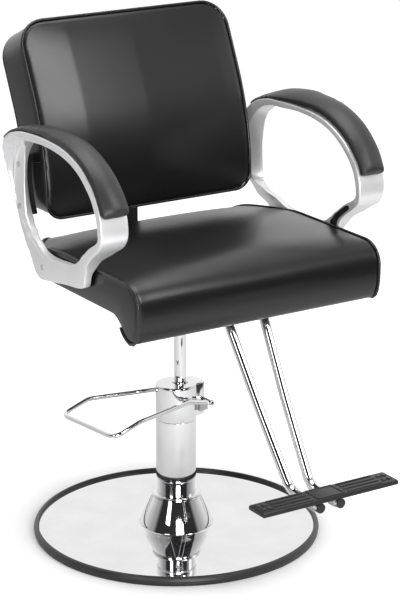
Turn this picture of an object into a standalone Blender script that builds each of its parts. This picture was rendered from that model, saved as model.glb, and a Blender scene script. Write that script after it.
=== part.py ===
"""Hydraulic hairdressing chair: round chrome base, pump with a foot pedal, and a swivelling armchair.

Metres, +Z up. The floor is z = 0, the swivel axis is the world Z axis and the chair faces -Y.
The pump column and the base stand a little to one side of the swivel axis, because the ram is eccentric.
"""
import math
from collections import namedtuple

import bmesh
import bpy
from mathutils import Matrix, Vector

# Fits
CLEAR = 0.0003                      # gap kept between pieces that touch
RUN_CLEAR = 0.0004                  # gap round a piece that slides or turns

# Base
BASE_RADIUS = 0.290
EDGE_RING_WIDTH = 0.0095
EDGE_RING_HEIGHT = 0.018
BASE_PLATE_THICKNESS = 0.008
COVER_WALL = 0.002
COVER_RIM_HEIGHT = 0.0125           # top of the chrome cover at the edge ring
COVER_CENTRE_HEIGHT = 0.0130        # top of the chrome cover at the foot of the bell
BELL_RADIUS = 0.0745
BELL_TOP_RADIUS = 0.0485
BELL_BOW = 1.15                     # above 1 the bell's side bows outward
BELL_FOOT = 0.001                   # fillet where the bell meets the cover
BELL_TOP = 0.0735
COLLAR_RADIUS = 0.0495
COLLAR_HEIGHT = 0.0080
FOOT_FLANGE_RADIUS = 0.062
FOOT_FLANGE_HEIGHT = 0.006
FOOT_BOLT_CIRCLE = 0.051
FOOT_BOLT_COUNT = 3

# Pump column
RAM_OFFSET = 0.011                  # the ram stands this far from the column's axis
PUMP_ANGLE = math.radians(7.5)      # turn of the pump about the vertical
NECK_RADIUS = 0.0385
NECK_TOP = 0.1104
TUBE_RADIUS = 0.0405
TUBE_BORE = 0.0355
TUBE_TOP = 0.239
HEAD_RADIUS = 0.0412
HEAD_TOP = 0.313
HEAD_CHAMFER = 0.004
BOSS_REACH = 0.060                  # the pedal boss reaches this far from the column's axis
BOSS_HALF_WIDTH = 0.027
BOSS_CORNER = 0.018
BOSS_BOTTOM = 0.2415
BOSS_STEP = 0.003                   # the boss is this much lower than the head
RAM_RADIUS = 0.012
BUSH_WALL = 0.0025
BUSH_LENGTH = 0.028
WIPER_WIDTH = 0.0045
WIPER_HEIGHT = 0.003
LINER_BORE = 0.0150
LINER_WALL = 0.0025
VALVE_HEIGHT = 0.021
PISTON_HEIGHT = 0.020
SEAL_HEIGHT = 0.005
SEAL_DEPTH = 0.003
WASHER_HEIGHT = 0.003
LIFT_TRAVEL = 0.150                 # how far the chair sinks from the height shown
PISTON_FLOOR_GAP = 0.004            # left under the piston at the bottom of its travel

# Pedal
PIVOT_X = 0.047                     # pedal shaft, from the column's axis
PIVOT_Z = 0.274
SHAFT_RADIUS = 0.006
SHAFT_BORE = 0.003
SHAFT_HALF_LENGTH = 0.058
WIRE_RADIUS = 0.0047
PEDAL_NECK_HALF = 0.050             # half the loop's width at the pump head
PEDAL_HALF_WIDTH = 0.0836
PEDAL_REACH = 0.222                 # crossbar, from the column's axis
PEDAL_RISE = 0.018                  # the arms rise this far above the shaft
PEDAL_CORNER = 0.022
CAM_ARM = 0.0145                    # cam tip to shaft axis
CAM_RADIUS = 0.004
CAM_HALF_WIDTH = 0.005
CAM_HUB_WALL = 0.0025
PLUNGER_RADIUS = 0.004
PLUNGER_LENGTH = 0.015
SPRING_WIRE = 0.0005
SPRING_TURNS = 4
KEEPER_THICKNESS = 0.009
KEEPER_WIDTH = 0.020
KEEPER_HEIGHT = 0.014

# Seat; heights from here on are above the underside of the seat cushion
SEAT_HEIGHT = 0.556                 # underside of the seat cushion above the floor
SEAT_HALF_WIDTH = 0.2713
SEAT_FRONT = 0.290
SEAT_REAR = 0.145
SEAT_SIDE_HEIGHT = 0.072
SEAT_NOSE_RADIUS = 0.045
SEAT_CROWN = 0.020
SEAT_FRONT_CROWN = 0.006
SEAT_SIDE_BULGE = 0.006
SEAT_REAR_CORNER = 0.100
SEAT_REAR_RADIUS = 0.026
LIP_DROP = 0.042
LIP_WIDTH = 0.046
LIP_ROOT = 0.212                    # where the lip leaves the underside
LIP_NOSE_RISE = 0.010               # the lip's front lower edge is rounded up this far
BOARD_THICKNESS = 0.0145
BOARD_HALF_WIDTH = 0.225
BOARD_FRONT = 0.185
BOARD_REAR = 0.120

# Seat bracket under the board
BRACKET_THICKNESS = 0.006
BRACKET_HALF_WIDTH = 0.100
BRACKET_FRONT = 0.110
BRACKET_REAR = 0.115
BRACKET_CORNER = 0.018
HUB_RADIUS = 0.025
HUB_HEIGHT = 0.042
BRACKET_BOLT_INSET = 0.016

# Back
BACK_FRONT = 0.105                  # front seam at the bottom, behind the swivel axis
BACK_BOTTOM = 0.101
BACK_UPRIGHT = 0.023                # upright length below the lumbar curve
LUMBAR_RADIUS = 0.520
RECLINE = math.radians(25.0)        # lean of the top of the back
BACK_TOP_RUN = 0.143                # straight length above the curve
BACK_SIDE_INSET = 0.0343            # the back is this much narrower than the seat, each side
BACK_HALF_WIDTH = SEAT_HALF_WIDTH - BACK_SIDE_INSET
BACK_THICKNESS = 0.090
BACK_CROWN = 0.016
BACK_BORDER_BULGE = 0.004
BACK_TOP_CORNER = 0.055
BACK_BOTTOM_CORNER = 0.035
SHELL_THICKNESS = 0.010
SHELL_INSET = 0.006
BAR_HALF_WIDTH = 0.028
BAR_THICKNESS = 0.006
BAR_BEND = 0.024
BAR_UNDER_SEAT = 0.045              # start of the bar behind the swivel axis
BAR_TURN = math.radians(14.0)       # how far the bar follows the lumbar curve

# Arms
ARM_LAP = 0.0133                    # the band on top reaches this far in over the seat
ARM_BAND_WIDTH = 0.059
ARM_INNER = SEAT_HALF_WIDTH - ARM_LAP
ARM_OUTER = ARM_INNER + ARM_BAND_WIDTH
ARM_PLATE_THICKNESS = 0.016
ARM_LEG_LAP = 0.0153                # the rear leg reaches this far in, to face the back
ARM_LEG_INNER = SEAT_HALF_WIDTH - ARM_LEG_LAP
ARM_CHAMFER = 0.0025
ARM_GROOVE = 0.0006                 # the hoop round the opening lies this much below the outer face
ARM_TILT = 0.012                    # the band's inner edge lies this much lower
ARM_INNER_LIFT = 0.42               # share of the tilt by which the band is thinner at its inner edge
ARM_STEPS = 3                       # rings between two stations
ARM_CAP_STAND = 0.0229              # the screw caps sit this far out from the leg's inner side
ARM_CAP_SPOTS = ((0.139, 0.129), (0.139, 0.213))
ARM_PLATE_SPOT = (0.024, 0.037)
BACKING_OUTLINE = ((0.131, 0.101, 0.003), (0.146, 0.113, 0.003), (0.156, 0.140, 0.0), (0.165, 0.175, 0.0),
                   (0.168, 0.205, 0.0), (0.165, 0.226, 0.003), (0.150, 0.226, 0.003), (0.155, 0.200, 0.0),
                   (0.154, 0.170, 0.0), (0.146, 0.134, 0.0))
PAD_CROWN = 0.017
PAD_EDGE = 0.006
PAD_INSET = 0.001
PAD_GAP = 0.0009                    # over the gently twisted band
PAD_RINGS = (-7, 17)                # the pad lies between these rings of the arm
PAD_END_INSET = 0.004
PAD_REAR_RISES = ((0.35, 0.15), (0.48, 0.05))       # share of the full height at the rear end, and per ring
PAD_FRONT_RISE = (0.55, 0.50)       # the same from the front end

# Footrest
RAIL_RADIUS = 0.0095
RAIL_BORE = 0.0078
RAIL_BEND = 0.050
RAIL_SHIN_BEND = 0.900
RAIL_FOOT_BEND = 0.045
RAIL_SPREADS = (0.0450, 0.0410, 0.0310, 0.0225)     # half distance between the rails, from the top down
RAIL_START = 0.030                  # upper end under the bracket, in front of the swivel axis
RAIL_KNEE = 0.2245
RAIL_SHIN = (-0.323, -0.185)
RAIL_FOOT = 0.4235
RAIL_END_INSET = 0.006              # the rails end this far behind the tread's front edge
PLUG_DEPTH = 0.012
PLUG_CAP = 0.0025
CLAMP_HALF_LENGTH = 0.080
CLAMP_HALF_WIDTH = 0.014
CLAMP_THICKNESS = 0.004
CLAMP_BOLT_INSET = 0.012
CLAMP_Y = -0.062
TREAD_HALF_LENGTH = 0.1516
TREAD_FRONT = 0.5243
TREAD_REAR = 0.4738
TREAD_THICKNESS = 0.012
TREAD_CORNER = 0.004
TREAD_TOP = -0.307
RIB_HEIGHT = 0.0015
RIB_WIDTH = 0.0048
RIB_COUNT = 4
FRAME_HALF_LENGTH = 0.030
STUD_SIZE = 0.009
STRAP_THICKNESS = 0.002
STRAP_LENGTH = 0.014
STRAP_EAR = 0.012

# Fineness
SEGMENTS = 32
BASE_SEGMENTS = 48
RAM_SEGMENTS = 24
SMALL_SEGMENTS = 16
SCREW_SEGMENTS = 10
RAIL_SIDES = 12
ARC_STEP = math.radians(22.5)

ArmRing = namedtuple("ArmRing", "outer_y outer_z inner_y inner_z low high drop flare share tilt")
Fastener = namedtuple("Fastener", "head_radius head_height shank_radius shank_length")
FOOT_BOLT = Fastener(0.0075, 0.005, 0.004, FOOT_FLANGE_HEIGHT + CLEAR + 0.006)
BRACKET_BOLT = Fastener(0.0065, 0.004, 0.0035, BRACKET_THICKNESS + CLEAR + 0.010)
CLAMP_BOLT = Fastener(0.0055, 0.0035, 0.003,
                      CLAMP_THICKNESS + 2 * RAIL_RADIUS + 2 * CLEAR + BRACKET_THICKNESS)
BAR_BOLT = Fastener(0.0065, 0.004, 0.0035, BAR_THICKNESS + CLEAR + BRACKET_THICKNESS)
BACK_SCREW = Fastener(0.0065, 0.0035, 0.003, BAR_THICKNESS + CLEAR + 0.009)
LEG_SCREW = Fastener(0.0056, 0.002, 0.003, 0.007)
PLATE_SCREW = Fastener(0.0056, 0.002, 0.003, ARM_PLATE_THICKNESS)
STRAP_SCREW = Fastener(0.0032, 0.0018, 0.0016, STRAP_THICKNESS + CLEAR + 0.007)

# Colour, roughness and metallic value of each finish
FINISHES = {
    "chrome": ((0.80, 0.81, 0.82), 0.08, 1.0),
    "steel": ((0.55, 0.56, 0.58), 0.35, 1.0),
    "black_steel": ((0.03, 0.03, 0.03), 0.45, 0.3),
    "silver": ((0.74, 0.75, 0.76), 0.32, 0.9),
    "bronze": ((0.60, 0.42, 0.22), 0.35, 1.0),
    "leather": ((0.025, 0.025, 0.027), 0.42, 0.0),
    "plastic": ((0.035, 0.035, 0.038), 0.50, 0.0),
    "rubber": ((0.05, 0.05, 0.052), 0.70, 0.0),
    "plywood": ((0.45, 0.32, 0.18), 0.65, 0.0),
}


def clear_scene():
    for existing in list(bpy.data.objects):
        bpy.data.objects.remove(existing, do_unlink=True)


def empty(name, location, parent=None, turn=0.0):
    marker = bpy.data.objects.new(name, None)
    marker.location = location
    marker.rotation_euler = (0.0, 0.0, turn)
    marker.parent = parent
    bpy.context.scene.collection.objects.link(marker)
    return marker


def material(name, finish):
    colour, roughness, metallic = FINISHES[finish]
    made = bpy.data.materials.new(name)
    made.use_nodes = True
    shader = made.node_tree.nodes["Principled BSDF"]
    shader.inputs["Base Color"].default_value = (*colour, 1.0)
    shader.inputs["Roughness"].default_value = roughness
    shader.inputs["Metallic"].default_value = metallic
    made.diffuse_color = (*colour, 1.0)
    return made


def piece(name, bm, finish, parent):
    """One named node, with its faces pointing out and its round faces shaded smooth."""
    bmesh.ops.recalc_face_normals(bm, faces=bm.faces)
    mesh = bpy.data.meshes.new(name)
    bm.to_mesh(mesh)
    bm.free()
    mesh.shade_smooth()
    mesh.set_sharp_from_angle(angle=math.radians(32.0))
    mesh.materials.append(material(name, finish))
    made = bpy.data.objects.new(name, mesh)
    made.parent = parent
    bpy.context.scene.collection.objects.link(made)
    return made


def tool(name, bm, parent):
    """A cutting or joining body that is not a piece of the chair."""
    bmesh.ops.recalc_face_normals(bm, faces=bm.faces)
    mesh = bpy.data.meshes.new(name)
    bm.to_mesh(mesh)
    bm.free()
    made = bpy.data.objects.new(name, mesh)
    made.parent = parent
    made.hide_render = True
    made.display_type = "WIRE"
    bpy.context.scene.collection.objects.link(made)
    return made


def combine(target, operand, operation):
    step = target.modifiers.new(operand.name, "BOOLEAN")
    step.object = operand
    step.operation = operation
    step.solver = "EXACT"


def skin(bm, rings, wrap=False):
    """Quads between rings of equal length; wrap joins the last ring to the first."""
    following = rings[1:] + rings[:1] if wrap else rings[1:]
    for ring, after in zip(rings, following):
        count = len(ring)
        for index in range(count):
            along = (index + 1) % count
            bm.faces.new((ring[index], ring[along], after[along], after[index]))


def turned(profile, segments=SEGMENTS, centre=(0.0, 0.0)):
    """Spin a closed outline of (radius, height) about the vertical; zero radius makes a pole."""
    bm = bmesh.new()
    add_turned(bm, profile, segments, Matrix.Translation((*centre, 0.0)))
    return bm


def add_turned(bm, profile, segments, place):
    rings = []
    for radius, height in profile:
        count = 1 if radius == 0.0 else segments
        ring = []
        for index in range(count):
            angle = 2.0 * math.pi * index / segments
            spot = Vector((radius * math.cos(angle), radius * math.sin(angle), height))
            ring.append(bm.verts.new(place @ spot))
        rings.append(ring)
    for ring, after in zip(rings, rings[1:] + rings[:1]):
        if len(ring) == 1 and len(after) == 1:
            continue
        for index in range(segments):
            along = index + 1
            corners = [ring[index % len(ring)], ring[along % len(ring)],
                       after[along % len(after)], after[index % len(after)]]
            bm.faces.new(list(dict.fromkeys(corners)))


def rod(radius, low, high):
    return [(0.0, low), (radius, low), (radius, high), (0.0, high)]


def sleeve(bore, radius, low, high):
    return [(bore, low), (radius, low), (radius, high), (bore, high)]


def fillet(before, corner, after, radius, step=ARC_STEP):
    """Points of the arc that rounds a corner of a path, in any number of dimensions."""
    back = (before - corner).normalized()
    ahead = (after - corner).normalized()
    half = back.angle(ahead) / 2.0
    if radius == 0.0 or half > math.radians(89.0):
        return [corner]
    centre = corner + (back + ahead).normalized() * (radius / math.sin(half))
    reach = radius / math.tan(half)
    first = (corner + back * reach - centre) / radius
    last = (corner + ahead * reach - centre) / radius
    sweep = math.pi - 2.0 * half
    count = max(2, math.ceil(sweep / step))
    points = []
    for index in range(count + 1):
        share = index / count
        blend = first * math.sin((1.0 - share) * sweep) + last * math.sin(share * sweep)
        points.append(centre + blend * (radius / math.sin(sweep)))
    return points


def rounded_outline(corners, step=ARC_STEP):
    """Closed flat outline from corners of (a, b, radius)."""
    spots = [Vector((a, b)) for a, b, radius in corners]
    points = []
    for index, (a, b, radius) in enumerate(corners):
        points += fillet(spots[index - 1], spots[index], spots[(index + 1) % len(spots)], radius, step)
    return points


def rounded_path(points, radii, step=ARC_STEP):
    """Open path through points, with each inner corner rounded."""
    spots = [Vector(point) for point in points]
    path = [spots[0]]
    for index, radius in enumerate(radii, start=1):
        path += fillet(spots[index - 1], spots[index], spots[index + 1], radius, step)
    path.append(spots[-1])
    return path


def prism(outline, low, high):
    """Extrude a flat (x, y) outline from one height to another."""
    bm = bmesh.new()
    add_prism(bm, outline, low, high)
    return bm


def add_prism(bm, outline, low, high):
    bottom = [bm.verts.new((a, b, low)) for a, b in outline]
    top = [bm.verts.new((a, b, high)) for a, b in outline]
    skin(bm, [bottom, top])
    bm.faces.new(bottom[::-1])
    bm.faces.new(top)


def add_box(bm, low, high):
    outline = [(low[0], low[1]), (high[0], low[1]), (high[0], high[1]), (low[0], high[1])]
    add_prism(bm, outline, low[2], high[2])


def tube(path, radius, sides, bore=0.0):
    """Round bar along a path, or a pipe when it has a bore."""
    bm = bmesh.new()
    directions = []
    for index in range(len(path)):
        before = path[max(index - 1, 0)]
        after = path[min(index + 1, len(path) - 1)]
        directions.append((after - before).normalized())
    across = directions[0].orthogonal().normalized()
    outer, inner = [], []
    for spot, direction in zip(path, directions):
        across = (across - direction * across.dot(direction)).normalized()
        upward = direction.cross(across)
        spokes = [across * math.cos(2.0 * math.pi * n / sides) + upward * math.sin(2.0 * math.pi * n / sides)
                  for n in range(sides)]
        outer.append([bm.verts.new(spot + spoke * radius) for spoke in spokes])
        if bore:
            inner.append([bm.verts.new(spot + spoke * bore) for spoke in spokes])
    skin(bm, outer)
    if bore:
        skin(bm, inner)
        skin(bm, [outer[0], inner[0]])
        skin(bm, [outer[-1], inner[-1]])
    else:
        bm.faces.new(outer[0])
        bm.faces.new(outer[-1])
    return bm


def ribbon(path, half_width, thickness):
    """Flat bar of even width in X along a path of (y, z) points."""
    bm = bmesh.new()
    rings = []
    for index, spot in enumerate(path):
        before = path[max(index - 1, 0)]
        after = path[min(index + 1, len(path) - 1)]
        direction = (after - before).normalized()
        side = Vector((-direction.y, direction.x)) * (thickness / 2.0)
        corners = [(-half_width, spot + side), (half_width, spot + side),
                   (half_width, spot - side), (-half_width, spot - side)]
        rings.append([bm.verts.new((x, *flat)) for x, flat in corners])
    skin(bm, rings)
    bm.faces.new(rings[0])
    bm.faces.new(rings[-1])
    return bm


def facing(place, direction):
    """Matrix that stands a turned shape at a place with its axis along a direction."""
    turn = Vector((0.0, 0.0, 1.0)).rotation_difference(Vector(direction))
    return Matrix.Translation(place) @ turn.to_matrix().to_4x4()


def fasteners(name, size, spots, finish, parent):
    """Identical screws, numbered; each spot is a seat and the way that the shank points."""
    profile = [(0.0, -size.head_height), (size.head_radius * 0.8, -size.head_height),
               (size.head_radius, -size.head_height * 0.55), (size.head_radius, -CLEAR),
               (size.shank_radius, -CLEAR), (size.shank_radius, size.shank_length), (0.0, size.shank_length)]
    for number, (place, direction) in enumerate(spots, start=1):
        bm = bmesh.new()
        add_turned(bm, profile, SCREW_SEGMENTS, facing(place, direction))
        label = f"{name}_{number}" if len(spots) > 1 else name
        piece(label, bm, finish, parent)


def drill(target, size, spots, parent):
    """Clearance holes for the same screws."""
    bm = bmesh.new()
    radius = size.shank_radius + CLEAR
    for place, direction in spots:
        hole = rod(radius, -size.shank_length, size.shank_length + CLEAR)
        add_turned(bm, hole, SCREW_SEGMENTS, facing(place, direction))
    combine(target, tool("holes_" + target.name, bm, parent), "DIFFERENCE")


def smooth_loop(stations, steps, curved):
    """Even samples of a closed loop of stations.

    The first curved values of a station run on a smooth curve; the others ease from station to station.
    """
    samples = []
    count = len(stations)
    for index in range(count):
        a, b, c, d = (stations[(index + shift) % count] for shift in (-1, 0, 1, 2))
        for step in range(steps):
            t = step / steps
            ease = t * t * (3.0 - 2.0 * t)
            run = [0.5 * (2 * q + (r - p) * t + (2 * p - 5 * q + 4 * r - s) * t * t
                          + (3 * q - p - 3 * r + s) * t ** 3)
                   for p, q, r, s in zip(a[:curved], b[:curved], c[:curved], d[:curved])]
            samples.append(run + [q + (r - q) * ease for q, r in zip(b[curved:], c[curved:])])
    return samples


def slab(rows, columns, place, front, rear, rim_depth, bulge):
    """Padded panel made of rows of (along, half width).

    place(across, along, depth) gives a point; front and rear give the depth of each face from the share
    across (-1 to 1) and the place along; the rim swells outward by bulge at rim_depth.
    """
    bm = bmesh.new()
    shares = [2.0 * index / columns - 1.0 for index in range(columns + 1)]
    flat = [[Vector((share * half, along)) for share in shares] for along, half in rows]

    def face(depth):
        return [[bm.verts.new(place(spot.x, spot.y, depth(share, spot.y)))
                 for share, spot in zip(shares, row)] for row in flat]

    def rim(grid):
        right = [row[-1] for row in grid[1:-1]]
        left = [row[0] for row in grid[-2:0:-1]]
        return grid[0] + right + grid[-1][::-1] + left

    fore, aft = face(front), face(rear)
    for grid in (fore, aft):
        for row, after in zip(grid, grid[1:]):
            for index in range(columns):
                bm.faces.new((row[index], row[index + 1], after[index + 1], after[index]))
    edge = rim(flat)
    swell = []
    for index, spot in enumerate(edge):
        run = edge[(index + 1) % len(edge)] - edge[index - 1]
        out = Vector((run.y, -run.x)).normalized() * bulge
        swell.append(bm.verts.new(place(spot.x + out.x, spot.y + out.y, rim_depth)))
    skin(bm, [rim(fore), swell, rim(aft)])
    return bm


def corner_rows(length, half_width, first_corner, last_corner, middle, arc=4):
    """Rows of (along, half width) of a panel with rounded corners at both ends."""
    rows = []
    for index in range(arc + 1):
        angle = math.pi / 2.0 * index / arc
        rows.append((first_corner * (1.0 - math.cos(angle)),
                     half_width - first_corner * (1.0 - math.sin(angle))))
    for index in range(1, middle):
        share = index / middle
        rows.append((first_corner + share * (length - first_corner - last_corner), half_width))
    for index in range(arc, -1, -1):
        angle = math.pi / 2.0 * index / arc
        rows.append((length - last_corner * (1.0 - math.cos(angle)),
                     half_width - last_corner * (1.0 - math.sin(angle))))
    return rows


def swell_share(share, power=3.0):
    return 1.0 - abs(share) ** power


# Base

def build_base(pump):
    inner = BASE_RADIUS - EDGE_RING_WIDTH
    plate_top = BASE_PLATE_THICKNESS
    bolt_spots = []
    for index in range(FOOT_BOLT_COUNT):
        angle = 2.0 * math.pi * index / FOOT_BOLT_COUNT
        place = (FOOT_BOLT_CIRCLE * math.cos(angle), FOOT_BOLT_CIRCLE * math.sin(angle),
                 plate_top + CLEAR + FOOT_FLANGE_HEIGHT)
        bolt_spots.append((place, (0.0, 0.0, -1.0)))

    disc = turned(rod(inner - CLEAR, 0.0, plate_top), BASE_SEGMENTS)
    plate = piece("base_plate", disc, "black_steel", pump)
    drill(plate, FOOT_BOLT, bolt_spots, pump)

    ring_top = EDGE_RING_HEIGHT
    ring = [(inner, 0.0), (BASE_RADIUS - 0.003, 0.0), (BASE_RADIUS, 0.003), (BASE_RADIUS, ring_top * 0.53),
            (BASE_RADIUS - 0.0012, ring_top * 0.75), (BASE_RADIUS - 0.0042, ring_top * 0.94),
            (BASE_RADIUS - 0.0072, ring_top), (inner, ring_top)]
    piece("base_edge_ring", turned(ring, BASE_SEGMENTS), "rubber", pump)

    def surface(offset, steps):
        """Top of the cover from the rim to the bell's mouth, moved inward by an offset."""
        points = [(inner - CLEAR - offset, COVER_RIM_HEIGHT - offset),
                  (BELL_RADIUS + BELL_FOOT, COVER_CENTRE_HEIGHT - offset)]
        foot = COVER_CENTRE_HEIGHT + BELL_FOOT
        lean = math.atan2(BELL_RADIUS - BELL_TOP_RADIUS, BELL_TOP - foot)
        for index in range(steps + 1):
            share = index / steps
            radius = BELL_RADIUS - (BELL_RADIUS - BELL_TOP_RADIUS) * share ** BELL_BOW
            height = min(foot + (BELL_TOP - foot) * share - offset * math.sin(lean), BELL_TOP - offset)
            points.append((radius - offset * math.cos(lean), height))
        points.append((NECK_RADIUS + CLEAR, BELL_TOP - offset))
        return points

    foot = plate_top + CLEAR
    outer = [(inner - CLEAR, foot)] + surface(0.0, 5)
    under = [(inner - CLEAR - COVER_WALL, foot)] + surface(COVER_WALL, 3)
    piece("base_cover", turned(outer + under[::-1], BASE_SEGMENTS), "chrome", pump)

    flange = sleeve(NECK_RADIUS + CLEAR, FOOT_FLANGE_RADIUS, foot, foot + FOOT_FLANGE_HEIGHT)
    drill(piece("pump_foot_flange", turned(flange), "black_steel", pump), FOOT_BOLT, bolt_spots, pump)
    fasteners("foot_bolt", FOOT_BOLT, bolt_spots, "steel", pump)

    collar_low = BELL_TOP + CLEAR
    collar_high = collar_low + COLLAR_HEIGHT
    collar = [(NECK_RADIUS + CLEAR, collar_low), (COLLAR_RADIUS - 0.001, collar_low),
              (COLLAR_RADIUS, collar_low + 0.0015), (COLLAR_RADIUS, collar_high - 0.002),
              (COLLAR_RADIUS - 0.002, collar_high), (NECK_RADIUS + CLEAR, collar_high)]
    piece("column_collar", turned(collar), "chrome", pump)


# Pump

def build_pump(pump):
    foot = BASE_PLATE_THICKNESS + CLEAR
    ram = (RAM_OFFSET, 0.0)
    column = [(TUBE_BORE, foot), (NECK_RADIUS, foot), (NECK_RADIUS, NECK_TOP - 0.001),
              (TUBE_RADIUS - 0.001, NECK_TOP), (TUBE_RADIUS, NECK_TOP + 0.002), (TUBE_RADIUS, TUBE_TOP),
              (TUBE_BORE, TUBE_TOP)]
    piece("pump_tube", turned(column), "chrome", pump)

    valve_low = foot
    valve_high = valve_low + VALVE_HEIGHT
    valve = [(0.0, valve_low), (TUBE_BORE - CLEAR, valve_low), (TUBE_BORE - CLEAR, valve_high - 0.002),
             (TUBE_BORE - 0.003, valve_high), (0.0, valve_high)]
    piece("foot_valve", turned(valve), "steel", pump)
    liner = sleeve(LINER_BORE, LINER_BORE + LINER_WALL, valve_high + CLEAR, TUBE_TOP)
    piece("cylinder_liner", turned(liner, RAM_SEGMENTS, ram), "steel", pump)
    build_head(pump, ram)


def build_head(pump, ram):
    low = TUBE_TOP + CLEAR
    body = [(0.0, low), (HEAD_RADIUS, low), (HEAD_RADIUS, HEAD_TOP - HEAD_CHAMFER),
            (HEAD_RADIUS - 0.3 * HEAD_CHAMFER, HEAD_TOP - 0.3 * HEAD_CHAMFER),
            (HEAD_RADIUS - HEAD_CHAMFER, HEAD_TOP), (0.0, HEAD_TOP)]
    head = piece("pump_head", turned(body), "chrome", pump)
    outline = rounded_outline([(0.0, -BOSS_HALF_WIDTH, 0.0), (BOSS_REACH, -BOSS_HALF_WIDTH, BOSS_CORNER),
                               (BOSS_REACH, BOSS_HALF_WIDTH, BOSS_CORNER), (0.0, BOSS_HALF_WIDTH, 0.0)])
    boss = tool("pedal_boss", prism(outline, BOSS_BOTTOM, HEAD_TOP - BOSS_STEP), pump)
    combine(head, boss, "UNION")

    bush_radius = RAM_RADIUS + RUN_CLEAR + BUSH_WALL
    bush_low = HEAD_TOP - BUSH_LENGTH
    bores = bmesh.new()
    ram_bore = [(0.0, low - 0.01), (RAM_RADIUS + 2.0 * RUN_CLEAR, low - 0.01),
                (RAM_RADIUS + 2.0 * RUN_CLEAR, bush_low), (bush_radius + CLEAR, bush_low),
                (bush_radius + CLEAR, HEAD_TOP + 0.01), (0.0, HEAD_TOP + 0.01)]
    add_turned(bores, ram_bore, RAM_SEGMENTS, Matrix.Translation((*ram, 0.0)))
    combine(head, tool("ram_bore", bores, pump), "DIFFERENCE")

    cross = bmesh.new()
    add_turned(cross, rod(SHAFT_RADIUS + RUN_CLEAR, -2.0 * BOSS_HALF_WIDTH, 2.0 * BOSS_HALF_WIDTH),
               SMALL_SEGMENTS, facing((PIVOT_X, 0.0, PIVOT_Z), (0.0, 1.0, 0.0)))
    combine(head, tool("shaft_bore", cross, pump), "DIFFERENCE")

    plunger_x = PIVOT_X - CAM_ARM
    slot = bmesh.new()
    cam_hub = SHAFT_RADIUS + CLEAR + CAM_HUB_WALL
    tip_room = CAM_RADIUS + 3.0 * RUN_CLEAR
    hub_room = cam_hub + 2.0 * RUN_CLEAR
    add_box(slot, (plunger_x - tip_room, -CAM_HALF_WIDTH - RUN_CLEAR, PIVOT_Z - CAM_ARM),
            (PIVOT_X + hub_room, CAM_HALF_WIDTH + RUN_CLEAR, PIVOT_Z + hub_room))
    combine(head, tool("cam_slot", slot, pump), "DIFFERENCE")
    plunger_top = PIVOT_Z - CAM_RADIUS - CLEAR
    chamber_low = BOSS_BOTTOM + 0.002
    chamber = rod(PLUNGER_RADIUS + RUN_CLEAR, chamber_low, plunger_top)
    chamber_tool = tool("plunger_chamber", turned(chamber, SMALL_SEGMENTS, (plunger_x, 0.0)), pump)
    combine(head, chamber_tool, "DIFFERENCE")

    bush = sleeve(RAM_RADIUS + RUN_CLEAR, bush_radius, bush_low + CLEAR, HEAD_TOP)
    piece("ram_bush", turned(bush, RAM_SEGMENTS, ram), "bronze", pump)
    wiper_low = HEAD_TOP + CLEAR
    wiper_bore = RAM_RADIUS + CLEAR
    wiper_top = wiper_low + WIPER_HEIGHT
    wiper = [(wiper_bore, wiper_low), (wiper_bore + WIPER_WIDTH, wiper_low),
             (wiper_bore + WIPER_WIDTH * 0.8, wiper_low + WIPER_HEIGHT * 0.6),
             (wiper_bore + WIPER_WIDTH * 0.3, wiper_top), (wiper_bore, wiper_top)]
    piece("ram_wiper", turned(wiper, RAM_SEGMENTS, ram), "rubber", pump)

    keeper = bmesh.new()
    top = PIVOT_Z - SHAFT_RADIUS - CLEAR
    near = -BOSS_HALF_WIDTH - CLEAR
    add_box(keeper, (PIVOT_X - KEEPER_WIDTH + SHAFT_RADIUS, near - KEEPER_THICKNESS, top - KEEPER_HEIGHT),
            (PIVOT_X + SHAFT_RADIUS, near, top))
    piece("shaft_keeper", keeper, "steel", pump)

    plunger_low = plunger_top - PLUNGER_LENGTH
    plunger_edge = 0.0005
    plunger = [(0.0, plunger_low), (PLUNGER_RADIUS - plunger_edge, plunger_low),
               (PLUNGER_RADIUS, plunger_low + plunger_edge), (PLUNGER_RADIUS, plunger_top),
               (0.0, plunger_top)]
    piece("pump_plunger", turned(plunger, SMALL_SEGMENTS, (plunger_x, 0.0)), "steel", pump)
    build_spring(pump, plunger_x, chamber_low + CLEAR + SPRING_WIRE, plunger_low - CLEAR - SPRING_WIRE)


def build_spring(pump, centre_x, low, high):
    """Return spring under the plunger, one unbroken coil."""
    radius = PLUNGER_RADIUS - 2.0 * SPRING_WIRE
    count = SPRING_TURNS * 8
    path = []
    for index in range(count + 1):
        angle = 2.0 * math.pi * SPRING_TURNS * index / count
        path.append(Vector((centre_x + radius * math.cos(angle), radius * math.sin(angle),
                            low + (high - low) * index / count)))
    piece("return_spring", tube(path, SPRING_WIRE, 5), "steel", pump)


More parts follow.
